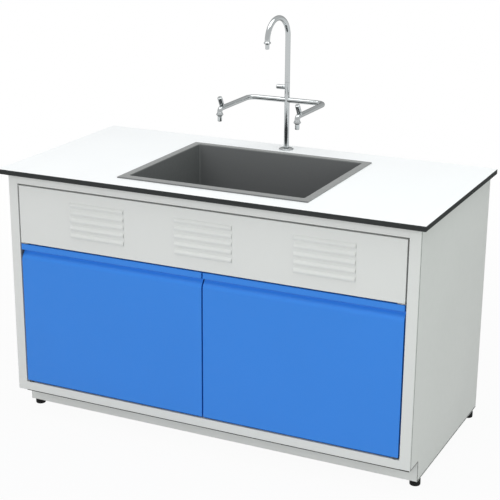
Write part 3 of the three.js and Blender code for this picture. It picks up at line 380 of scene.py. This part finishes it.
def chrome_plate():
    finish = Finish("chrome", CHROME, metallic=1.0)
    finish.shader.inputs["Specular Tint"].default_value = (*CHROME_EDGE, 1)
    finish.vary_roughness(finish.noise(per_metre=500.0, detail=4.0), low=0.08, high=0.13)
    finish.emboss(finish.noise(per_metre=60.0), height=0.000004, strength=0.2)
    return finish.material


def brushed_steel():
    finish = Finish("zinc", STEEL, metallic=1.0)
    strokes = finish.noise(per_metre=500.0, detail=3.0, place=finish.stretched(STEEL_STROKES))
    finish.vary_colour(strokes, amount=0.08)
    finish.vary_roughness(strokes, low=0.26, high=0.42)
    finish.emboss(strokes, height=0.00002, strength=0.25)
    return finish.material


def rubber(name, colour):
    finish = Finish(name, colour)
    finish.shader.inputs["Specular IOR Level"].default_value = RUBBER_SHINE
    finish.vary_colour(finish.noise(per_metre=200.0), amount=0.2)
    finish.vary_roughness(finish.noise(per_metre=120.0), low=0.6, high=0.8)
    finish.emboss(finish.noise(per_metre=1500.0), height=0.00004, strength=0.4)
    return finish.material


def moulded_plastic():
    finish = Finish("pipe_white", PIPE_WHITE)
    finish.vary_colour(finish.noise(per_metre=30.0), amount=0.02)
    finish.vary_roughness(finish.noise(per_metre=150.0), low=0.34, high=0.48)
    finish.emboss(finish.noise(per_metre=1200.0), height=0.00002, strength=0.25)
    return finish.material


finishes = {
    "casing_paint": powder_coat("casing_paint", CASING_GREY),
    "door_paint": powder_coat("door_paint", DOOR_BLUE),
    "decor_white": laminate(),
    "core_black": solid_core(),
    "sink_grey": moulded_sink(),
    "chrome": chrome_plate(),
    "zinc": brushed_steel(),
    "rubber_black": rubber("rubber_black", RUBBER_BLACK),
    "pipe_white": moulded_plastic(),
}
# The washers' grey, also the painted shade in the left door's groove end
washer_grey_and_groove_shade = rubber("washer_and_groove_shade_rubber", WASHER_GREY_AND_GROOVE_SHADE)
# Painted shade in the gap under each door
gap_shade_blue = rubber("door_gap_shade_rubber", DOOR_GAP_SHADE_BLUE)


# Mesh making


def mesh_of(name, form):
    """A mesh from a bmesh, which is used up."""
    mesh = bpy.data.meshes.new(name)
    form.to_mesh(mesh)
    form.free()
    return mesh


def shown(name, data):
    """A new object in the scene."""
    obj = bpy.data.objects.new(name, data)
    bpy.context.collection.objects.link(obj)
    return obj


def piece(name, form, slot, body, finish=None):
    """A smooth-shaded object from a bmesh, in its slot's finish or another, riding on a body."""
    bmesh.ops.recalc_face_normals(form, faces=form.faces)
    mesh = mesh_of(name, form)
    mesh.polygons.foreach_set("use_smooth", [True] * len(mesh.polygons))
    mesh.set_sharp_from_angle(angle=SHARP_ANGLE)
    mesh.materials.append(finish or finishes[slot])
    obj = shown(name, mesh)
    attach(obj, body)
    return obj


def stand_in(node, form):
    """A piece that shows in place of one CAD node."""
    obj = piece(f"{node}_finish", form, slot_of[node], body_of[node])
    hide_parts(node)
    return obj


def whole(node):
    """A CAD node's form with its flat faces in one piece each."""
    form = bmesh.new()
    form.from_mesh(nodes[node].data)
    bmesh.ops.remove_doubles(form, verts=form.verts, dist=WELD)
    bmesh.ops.dissolve_limit(form, angle_limit=FLAT_ANGLE, verts=form.verts, edges=form.edges)
    return form


def bevelled(form, edges, radius, steps):
    """Rounds some of a form's edges."""
    bmesh.ops.bevel(
        form,
        geom=edges,
        offset=radius,
        offset_type="OFFSET",
        segments=steps,
        profile=0.5,
        affect="EDGES",
        clamp_overlap=True,
    )


def softened(node, form, radius=EDGE_ROUND, steps=EDGE_STEPS):
    """A stand-in for a CAD node, with softly rounded edges."""
    edges = [line for line in form.edges if line.is_manifold]
    sharp = [line for line in edges if line.calc_face_angle() > SHARP_ANGLE]
    bevelled(form, sharp, radius, steps)
    obj = stand_in(node, form)
    weighted = obj.modifiers.new("face weighted shading", "WEIGHTED_NORMAL")
    weighted.keep_sharp = True
    return obj


def bezier(controls, steps):
    """Points along the curve that a row of control points pulls into shape."""
    degree = len(controls) - 1
    curve = []
    for step in range(steps + 1):
        t = step / steps
        point = Vector((0, 0))
        for k, control in enumerate(controls):
            point += Vector(control) * (math.comb(degree, k) * t**k * (1 - t) ** (degree - k))
        curve.append(point)
    return curve


def rounded(profile, radius):
    """A profile of (radius, height) points with its inner corners rounded where there is room."""
    points = [Vector(point) for point in profile]
    result = [points[0]]
    for before, corner, after in zip(points, points[1:], points[2:]):
        to_before = before - corner
        to_after = after - corner
        half = to_before.angle(to_after) / 2
        if half > math.pi / 2 - FLAT_ANGLE:
            result.append(corner)
            continue
        room = min(to_before.length, to_after.length) * ROUND_REACH
        reach = min(radius / math.tan(half), room)
        start = corner + to_before.normalized() * reach
        end = corner + to_after.normalized() * reach
        result += bezier([start, corner, end], ROUND_STEPS)
    result.append(points[-1])
    return result


def around(steps):
    """Angles that go once round in even steps."""
    return [math.tau * k / steps for k in range(steps)]


def turned(profile, steps=TURN_STEPS):
    """A closed form from (radius, height) points, on the Z axis at both ends, turned about it."""
    form = bmesh.new()
    rings = []
    for radius, height in profile:
        if radius < WELD:
            places = [(0, 0, height)]
        else:
            places = [(radius * math.cos(a), radius * math.sin(a), height) for a in around(steps)]
        rings.append([form.verts.new(place) for place in places])
    for lower, upper in zip(rings, rings[1:]):
        for k in range(steps):
            corners = [lower[k % len(lower)], lower[(k + 1) % len(lower)]]
            corners += [upper[(k + 1) % len(upper)], upper[k % len(upper)]]
            form.faces.new(list(dict.fromkeys(corners)))
    return form


def skinned(rings):
    """A closed form over rings of places, each joined to the next, with a lid on both ends."""
    form = bmesh.new()
    loops = [[form.verts.new(place) for place in ring] for ring in rings]
    for lower, upper in zip(loops, loops[1:]):
        for k in range(len(lower)):
            following = (k + 1) % len(lower)
            form.faces.new((lower[k], lower[following], upper[following], upper[k]))
    form.faces.new(loops[0])
    form.faces.new(loops[-1])
    return form


def placed(form, at, turn=Matrix()):
    bmesh.ops.transform(form, matrix=Matrix.Translation(at) @ turn.to_4x4(), verts=form.verts)
    return form


def bent_route(corners):
    """Stations (place, direction) along straight runs between corners (place, bend radius)."""
    stations = []
    for i, (corner, bend) in enumerate(corners):
        if not bend:
            ends = (corners[0][0], corners[1][0]) if i == 0 else (corners[i - 1][0], corner)
            stations.append((corner.copy(), (ends[1] - ends[0]).normalized()))
            continue
        incoming = (corner - corners[i - 1][0]).normalized()
        outgoing = (corners[i + 1][0] - corner).normalized()
        turn = incoming.angle(outgoing)
        inward = (outgoing - incoming * outgoing.dot(incoming)).normalized()
        start = corner - incoming * bend * math.tan(turn / 2)
        for step in range(BEND_STEPS + 1):
            angle = turn * step / BEND_STEPS
            ahead = bend * math.sin(angle)
            aside = bend * (1 - math.cos(angle))
            along = incoming * math.cos(angle) + inward * math.sin(angle)
            stations.append((start + incoming * ahead + inward * aside, along))
    apart = [stations[0]]
    for station in stations[1:]:
        if (station[0] - apart[-1][0]).length > WELD:
            apart.append(station)
    return apart


def swept(corners, radius):
    """A round bar along a bent route, closed at both ends."""
    rings = []
    stations = bent_route(corners)
    across = stations[0][1].orthogonal().normalized()
    for place, along in stations:
        across = (across - along * across.dot(along)).normalized()
        other = along.cross(across)
        spokes = [across * math.cos(a) + other * math.sin(a) for a in around(PIPE_SIDES)]
        rings.append([place + radius * spoke for spoke in spokes])
    return skinned(rings)


def combined(first, second, operation="UNION"):
    """Two closed forms joined into one, or the second taken out of the first."""
    objects = []
    for form in (first, second):
        bmesh.ops.recalc_face_normals(form, faces=form.faces)
        objects.append(shown("operand", mesh_of("operand", form)))
    boolean = objects[0].modifiers.new("combine", "BOOLEAN")
    boolean.operation = operation
    boolean.object = objects[1]
    shape = objects[0].evaluated_get(bpy.context.evaluated_depsgraph_get())
    result = bmesh.new()
    result.from_mesh(shape.to_mesh())
    shape.to_mesh_clear()
    for obj in objects:
        mesh = obj.data
        bpy.data.objects.remove(obj)
        bpy.data.meshes.remove(mesh)
    return result


def add_form(together, form):
    """Puts a form into another one, as a part of its own."""
    mesh = mesh_of("added", form)
    together.from_mesh(mesh)
    bpy.data.meshes.remove(mesh)


def prism(outline, start, end):
    """A closed form with a (y, z) outline, drawn out along X."""
    return skinned([[(x, y, z) for y, z in outline] for x in (start, end)])


def strip(front, back, low, high, start, end):
    """A straight strip of rectangular section, drawn out along X."""
    return prism([(front, low), (back, low), (back, high), (front, high)], start, end)


def middle(node):
    low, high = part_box(node)
    return (low + high) / 2


def size(node):
    low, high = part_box(node)
    return high - low


# The tap


def knob(radius, start, end):
    profile = [(0, start), (radius, start), (radius, end), (0, end)]
    return turned(rounded(profile, KNOB_ROUND))


def bar(radius, start, end):
    return turned([(0, start), (radius, start), (radius, end), (0, end)], PIPE_SIDES)


def nozzle(node, tube, tip, collar_bottom):
    """A hose nozzle under a tube: a round collar over a short bored tip."""
    low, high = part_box(node)
    length = high.z - low.z
    collar = size(node).x / 2
    bore = tip - NOZZLE_WALL
    tip_top = collar_bottom + NOZZLE_TAPER
    profile = [
        (0, 0),
        (tube, 0),
        (collar, -collar_bottom * NOZZLE_SHOULDER),
        (collar, -collar_bottom),
        (tip, -tip_top),
        (tip, -length),
        (bore, -length),
        (bore, -tip_top),
        (0, -tip_top),
    ]
    at = middle(node)
    stand_in(node, placed(turned(rounded(profile, NOZZLE_ROUND)), (at.x, at.y, high.z)))


def tap_base():
    """The domed flange on the worktop."""
    low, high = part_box("tap_flange")
    height = high.z - low.z
    radius = size("tap_flange").x / 2
    profile = [(0, 0)]
    profile += [(radius * across, height * up) for across, up in FLANGE_SHARES]
    at = middle("tap_flange")
    stand_in("tap_flange", placed(turned(rounded(profile, FLANGE_ROUND)), (at.x, at.y, low.z)))


def tap_column():
    """The column with a boss for the main knob, and that knob."""
    axis = middle("tap_flange")
    low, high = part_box("tap_column")
    radius = size("tap_column").y / 2
    tube = placed(bar(radius, 0, high.z - low.z), (axis.x, axis.y, low.z))
    stem = middle("main_valve_knob")
    stem_radius = size("main_valve_knob").z / 2
    stem_turn = Matrix.Rotation(-math.pi / 2, 4, "Y")
    boss = placed(bar(stem_radius, 0, axis.x - low.x), (axis.x, axis.y, stem.z), stem_turn)
    stand_in("tap_column", combined(tube, boss))

    start = axis.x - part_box("main_valve_knob")[1].x
    end = axis.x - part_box("main_valve_knob")[0].x
    handle = knob(stem_radius, start, end)
    stand_in("main_valve_knob", placed(handle, (axis.x, axis.y, stem.z), stem_turn))


def tap_gooseneck():
    """The spout with the spigot that it swivels on, and its nozzle."""
    axis = middle("tap_flange")
    outlet = middle("gooseneck_nozzle")
    radius = size("tap_column").y / 2
    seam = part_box("tap_column")[1].z + TAP_SEAM
    arch_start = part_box("gooseneck_nozzle")[1].z
    base = Vector((axis.x, axis.y, seam))
    reach = Vector((outlet.x - axis.x, outlet.y - axis.y, 0))
    arch = reach.length / 2
    crown = base + Vector((0, 0, arch_start + arch - seam))
    end = Vector((outlet.x, outlet.y, arch_start))
    tube = swept([(base, 0), (crown, arch), (crown + reach, arch), (end, 0)], radius)
    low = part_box("gooseneck")[0].z
    spigot = placed(bar(SPIGOT_RADIUS, low - seam, SPIGOT_OVERLAP), base)
    stand_in("gooseneck", combined(tube, spigot))
    nozzle("gooseneck_nozzle", radius, **SPOUT_NOZZLE)


def tap_arm(side):
    """An arm with a boss for its knob, that knob and the nozzle."""
    arm_node = f"tap_arm_{side}"
    axis = middle("tap_flange")
    outlet = middle(f"tap_nozzle_{side}")
    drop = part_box(arm_node)[0].z
    height = drop + ELBOW_BEND
    centre = Vector((axis.x, axis.y, height))
    corner = Vector((outlet.x, axis.y, height))
    elbow = Vector((outlet.x, outlet.y, height))
    end = Vector((outlet.x, outlet.y, drop))
    tube = swept([(centre, 0), (corner, ARM_BEND), (elbow, ELBOW_BEND), (end, 0)], ARM_RADIUS)
    lean = Matrix.Rotation(SIDE_KNOB_LEAN, 4, "X")
    stem = elbow + Vector((0, SIDE_KNOB_SETBACK, 0))
    boss = placed(bar(SIDE_KNOB_RADIUS, 0, SIDE_BOSS_END), stem, lean)
    stand_in(arm_node, combined(tube, boss))

    handle = knob(SIDE_KNOB_RADIUS, SIDE_BOSS_END + TAP_SEAM, SIDE_KNOB_END)
    stand_in(f"side_valve_knob_{side}", placed(handle, stem, lean))
    nozzle(f"tap_nozzle_{side}", ARM_RADIUS, **ARM_NOZZLE)


def threaded(radius, start, end):
    """Profile points of a screw thread, from start up to end."""
    turns = int((end - start) / THREAD_PITCH)
    points = []
    for k in range(turns):
        root = start + k * THREAD_PITCH
        points += [(radius - THREAD_DEPTH, root), (radius, root + THREAD_PITCH / 2)]
    return points


def tap_shank():
    """The bored and threaded shank under the worktop."""
    low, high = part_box("tap_shank")
    radius = size("tap_shank").x / 2
    length = high.z - low.z
    cap = length * SHANK_BORE_TOP
    neck, shoulder = [length * share for share in SHANK_NECK]
    thread = threaded(radius, THREAD_LEAD, length * SHANK_THREAD_TOP)
    profile = [(0, cap), (SHANK_BORE, cap), (SHANK_BORE, 0), (radius - THREAD_LEAD, 0), *thread]
    profile += [(radius - THREAD_DEPTH, neck), (radius, shoulder), (radius, length), (0, length)]
    at = middle("tap_shank")
    stand_in("tap_shank", placed(turned(profile), (at.x, at.y, low.z)))


def tap():
    tap_base()
    tap_column()
    tap_gooseneck()
    tap_shank()
    for side in ("left", "right"):
        tap_arm(side)


# Feet, fixings and the sheet-metal pieces


def foot(node):
    """A levelling foot with its threaded stud."""
    low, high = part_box(node)
    radius = size(node).x / 2
    corners = [(0, 0), (radius, 0), (radius, FOOT_HEIGHT), (STUD_RADIUS, FOOT_HEIGHT)]
    thread = threaded(STUD_RADIUS, FOOT_HEIGHT + THREAD_LEAD, high.z - 2 * THREAD_LEAD)
    profile = [*rounded(corners, FOOT_ROUND), (STUD_RADIUS - THREAD_DEPTH, FOOT_HEIGHT), *thread]
    profile += [(STUD_RADIUS - THREAD_LEAD, high.z), (0, high.z)]
    at = middle(node)
    stand_in(node, placed(turned(profile), (at.x, at.y, low.z)))


def screw_head():
    """A domed screw head on the plane z = 0, with a hexagonal socket."""
    half_side = math.pi / SOCKET_SIDES
    socket = SCREW_SHARES[-1][0]
    rings = []
    for across, up in SCREW_SHARES:
        ring = []
        for angle in around(SOCKET_SIDES * SOCKET_STEPS):
            reach = SCREW_RADIUS * across
            if across == socket:
                reach *= math.cos(half_side) / math.cos(angle % (2 * half_side) - half_side)
            ring.append((reach * math.cos(angle), reach * math.sin(angle), SCREW_HEIGHT * up))
        rings.append(ring)
    return skinned(rings)


def screws(name, places, facing, slot):
    """Screw heads at several places of the cabinet, all facing one way."""
    turn = Vector(facing).to_track_quat("Z", "Y").to_matrix()
    together = bmesh.new()
    for at in places:
        add_form(together, placed(screw_head(), at, turn))
    piece(name, together, slot, "cabinet")


def fixings():
    """The screws of the back panel and of the hinge plates."""
    low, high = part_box("back_panel")
    spacing = (high.z - low.z) / BACK_SCREW_ROWS
    heights = [low.z + spacing * (k + 0.5) for k in range(BACK_SCREW_ROWS)]
    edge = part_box("side_panel_right")[1]
    side_x = edge.x - BACK_SCREW_INSET
    places = [(sign * side_x, edge.y, height) for sign in (-1, 1) for height in heights]
    screws("back_edge_screws", places, (0, 1, 0), "zinc")
    spacing = (high.x - low.x) / BACK_SCREW_ROWS
    columns = [low.x + spacing * k for k in range(1, BACK_SCREW_ROWS)]
    rail_z = middle("rear_stretcher").z
    places = [(x, high.y, rail_z) for x in columns]
    screws("back_top_screws", places, (0, 1, 0), "zinc")

    for side in ("left", "right"):
        plate_low, plate_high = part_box(f"{side}_hinge_plate")
        leg_front = plate_high.y - HINGE_SHEET
        leg_z = plate_low.z + HINGE_SCREW_HEIGHT
        centre = middle(f"{side}_hinge_plate").x
        columns = (centre - HINGE_SCREW_OFFSET, centre + HINGE_SCREW_OFFSET)
        places = [(x, leg_front, leg_z) for x in columns]
        screws(f"{side}_hinge_screws", places, (0, -1, 0), "zinc")


def louvre_window(front):
    """The (y, z) outline of the way through under a hood, from its lip."""
    out, foot, crown, height = [LOUVRE_OPENING[key] for key in ("out", "foot", "crown", "height")]
    bends = [
        ((foot, 0), (out, crown / 2), (out, crown)),
        ((out, crown), (out, (crown + height) / 2), (LOUVRE_SKIRT, height)),
    ]
    outline = [(LOUVRE_SKIRT, -LOUVRE_BEYOND), (foot, -LOUVRE_BEYOND)]
    for bend in bends:
        outline += [tuple(place) for place in bezier(bend, ROUND_STEPS)]
    return [(front - y, z) for y, z in dict.fromkeys(outline)]


def louvre_panel():
    """The pressed panel with fuller louvres that are cut off square and open at their ends."""
    form = whole("louvre_panel")
    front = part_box("side_panel_right")[0].y
    for vert in form.verts:
        stands = front - vert.co.y
        if stands > LOUVRE_SKIRT:
            centre = min(LOUVRE_CENTRES, key=lambda x: abs(x - vert.co.x))
            vert.co.x += math.copysign(LOUVRE_SLOPE * stands, vert.co.x - centre)
            vert.co.y = front - stands * LOUVRE_SWELL
    ways = bmesh.new()
    for centre in LOUVRE_CENTRES:
        for row in range(LOUVRE_ROWS):
            lip = LOUVRE_LIP - row * LOUVRE_PITCH
            outline = [(y, lip + z) for y, z in louvre_window(front)]
            reach = LOUVRE_HALF + LOUVRE_BEYOND
            add_form(ways, prism(outline, centre - reach, centre + reach))
    softened("louvre_panel", combined(form, ways, "DIFFERENCE"))


def groove_outline(front, lip):
    """The (y, z) section of a door's finger groove, a little clear of its walls."""
    top = lip - GROOVE_SHADE_CLEAR
    foot = lip - GROOVE_HEIGHT
    turn = foot + GROOVE_HEIGHT * GROOVE_TURN
    depth = front + GROOVE_DEPTH * GROOVE_SWELL - GROOVE_SHADE_CLEAR
    front += GROOVE_SHADE_CLEAR
    curve = bezier([(front, foot), (front, turn), (depth, turn), (depth, top)], BEND_STEPS)
    return [*curve, (front, top)]


def lengthways(form, y, z):
    """A form's edges that run along X at one place of its section."""
    return [
        line
        for line in form.edges
        if all(abs(vert.co.y - y) < WELD and abs(vert.co.z - z) < WELD for vert in line.verts)
    ]


def door_skin(node):
    """A door's skin with a round lip and a fuller finger groove."""
    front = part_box(node)[0].y
    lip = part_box(node)[1].z - DOOR_LIP
    form = whole(node)
    for vert in form.verts:
        in_groove = lip - GROOVE_HEIGHT - DOOR_SHEET < vert.co.z < lip + DOOR_SHEET + WELD
        if in_groove and vert.co.y < front + GROOVE_DEPTH + DOOR_SHEET + WELD:
            vert.co.y = front + (vert.co.y - front) * GROOVE_SWELL
    bevelled(form, lengthways(form, front, lip), LIP_ROUND, ROUND_STEPS)
    softened(node, form)


def door(side):
    """A door's skin, its grey pivot washer, and a dark blue strip hung from its foot that paints
    the shade in the gap below it.
    """
    node = f"{side}_door_skin"
    washer = f"{side}_pivot_washer"
    door_skin(node)
    softened(washer, whole(washer)).data.materials[0] = washer_grey_and_groove_shade

    low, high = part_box(node)
    pivot = middle(washer).x
    free = high.x if side == "left" else low.x
    start = pivot + math.copysign(GAP_SHADE_CLEAR, free - pivot)
    front = low.y + GAP_SHADE_SETBACK
    # A dark blue strip that paints the shade in the gap under the door
    seal = strip(front, front + GAP_SHADE_THICKNESS, low.z - GAP_SHADE_DROP, low.z, start, free)
    piece(f"{side}_door_gap_shade_strip", seal, "rubber_black", body_of[node], gap_shade_blue)


def groove_end_shade():
    """A grey strip in the left end of the left door's groove that paints the shade seen there."""
    low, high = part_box("left_door_skin")
    start = low.x + GROOVE_SHADE_CLEAR
    cap = prism(groove_outline(low.y, high.z - DOOR_LIP), start, start + GROOVE_SHADE_WIDTH)
    piece("left_groove_end_shade", cap, "rubber_black", body_of["left_door_skin"], washer_grey_and_groove_shade)


def shadow_line_strips():
    """Black strips that paint shadow lines along the cut edges of the casing, and the shadow of a
    seam behind each front corner.
    """
    side_low, side_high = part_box("side_panel_right")
    frame_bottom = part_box("bottom_rail")[0].z
    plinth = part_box("front_plinth")[0].y
    outside = side_high.x + SHADOW_LINE_PROUD
    inside = outside - SHADOW_LINE_DEPTH
    front = side_low.y
    bend = front + BEND_RADIUS
    hem = side_low.z + HEM_HEIGHT
    seam = front + SEAM_SHADOW_SETBACK
    strips = {
        "notch_shadow_line": (bend, plinth, frame_bottom, frame_bottom + SHADOW_LINE_HEIGHT),
        "upright_shadow_line": (plinth, plinth + SHADOW_LINE_HEIGHT, side_low.z, frame_bottom),
        "hem_shadow_line": (plinth + SHADOW_LINE_HEIGHT, side_high.y - BEND_RADIUS, hem, hem + SHADOW_LINE_HEIGHT),
        "side_seam_shadow": (seam, seam + SEAM_SHADOW_WIDTH, frame_bottom, side_high.z),
    }
    for side, sign in (("left", -1), ("right", 1)):
        for name, section in strips.items():
            form = strip(*section, sign * inside, sign * outside)
            piece(f"{name}_{side}", form, "rubber_black", "cabinet")

    # Black strips that paint the shadow line under the bottom rail and at the front corners
    low = frame_bottom - RAIL_SHADOW_LINE
    rail_top = frame_bottom + SHADOW_LINE_PROUD
    corner_top = frame_bottom + CORNER_SHADOW_LINE
    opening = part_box("bottom_rail")[1].x
    corner_end = side_high.x - BEND_RADIUS / 2
    rail = strip(front + SHADOW_LINE_PROUD, bend, low, rail_top, -opening, opening)
    piece("rail_shadow_line", rail, "rubber_black", "cabinet")
    corner = strip(front - SHADOW_LINE_PROUD, bend, low, corner_top, opening, corner_end)
    piece("corner_shadow_line", corner, "rubber_black", "cabinet")


def remaining_nodes():
    """Softened stand-ins for the CAD nodes that no other piece replaces."""
    for node in nodes:
        if not nodes[node].hide_render:
            softened(node, whole(node))


# Room, lights, floor and camera


def softbox(name, power, sides, at, aim, mirrored=False):
    lamp = bpy.data.lights.new(name, "AREA")
    lamp.shape = "RECTANGLE"
    lamp.size, lamp.size_y = sides
    lamp.energy = power
    obj = shown(name, lamp)
    obj.location = at
    obj.rotation_euler = (Vector(aim) - Vector(at)).to_track_quat("-Z", "Y").to_euler()
    obj.visible_glossy = mirrored
    return obj


def studio():
    """A room that looks white and gives little light, with four softboxes."""
    scene = bpy.context.scene
    scene.view_settings.view_transform = "Standard"
    world = bpy.data.worlds.new("studio")
    scene.world = world
    world.use_nodes = True
    tree = world.node_tree
    tree.nodes.clear()
    shaders = []
    for strength in (AMBIENT, 1):
        background = tree.nodes.new("ShaderNodeBackground")
        background.inputs["Color"].default_value = WHITE
        background.inputs["Strength"].default_value = strength
        shaders.append(background.outputs["Background"])
    output = tree.nodes.new("ShaderNodeOutputWorld")
    room = blended(tree, looked_at(tree, MIRRORED), *shaders)
    tree.links.new(room, output.inputs["Surface"])

    softbox("top_softbox", TOP_POWER, TOP_SIZE, TOP_AT, TOP_AIM, mirrored=True)
    softbox("front_softbox", FRONT_POWER, FRONT_SIZE, FRONT_AT, FRONT_AIM)
    side = softbox("side_softbox", SIDE_POWER, SIDE_SIZE, SIDE_AT, SIDE_AIM)
    side.data.color = SIDE_TINT
    softbox("back_softbox", BACK_POWER, BACK_SIZE, BACK_AT, BACK_AIM)


def floor():
    """A matt floor that keeps the unit's shadow and fades into the white room."""
    material = bpy.data.materials.new("floor_white")
    material.use_nodes = True
    tree = material.node_tree
    tree.nodes.clear()
    matt = tree.nodes.new("ShaderNodeBsdfDiffuse")
    matt.inputs["Color"].default_value = (FLOOR_GREY, FLOOR_GREY, FLOOR_GREY, 1)
    glow = tree.nodes.new("ShaderNodeEmission")
    place = tree.nodes.new("ShaderNodeTexCoord")
    away = tree.nodes.new("ShaderNodeVectorMath")
    away.operation = "LENGTH"
    tree.links.new(place.outputs["Object"], away.inputs[0])
    fade = spread(tree, away.outputs["Value"], FLOOR_FADE, (FLOOR_GLOW, 1))
    share = maths(tree, "MULTIPLY", looked_at(tree), fade)
    surface = blended(tree, share, matt.outputs["BSDF"], glow.outputs["Emission"])
    output = tree.nodes.new("ShaderNodeOutputMaterial")
    tree.links.new(surface, output.inputs["Surface"])

    form = bmesh.new()
    corners = [(-1, -1), (1, -1), (1, 1), (-1, 1)]
    form.faces.new([form.verts.new((x * FLOOR_HALF, y * FLOOR_HALF, 0)) for x, y in corners])
    obj = shown("floor", mesh_of("floor", form))
    obj.data.materials.append(material)


def camera():
    lens = bpy.data.cameras.new("camera")
    lens.lens = LENS_MM
    lens.sensor_width = SENSOR_MM
    lens.shift_x, lens.shift_y = CAMERA_SHIFT
    obj = shown("camera", lens)
    obj.location = CAMERA_AT
    obj.rotation_euler = (CAMERA_PITCH, 0, CAMERA_YAW)
    bpy.context.scene.camera = obj


camera()
studio()
floor()
tap()
for end in ("front", "back"):
    for side in ("left", "right"):
        foot(f"foot_{end}_{side}")
softened("sink_bowl", whole("sink_bowl"), SINK_ROUND, ROUND_STEPS)
louvre_panel()
for side in ("left", "right"):
    door(side)
groove_end_shade()
remaining_nodes()
shadow_line_strips()
fixings()
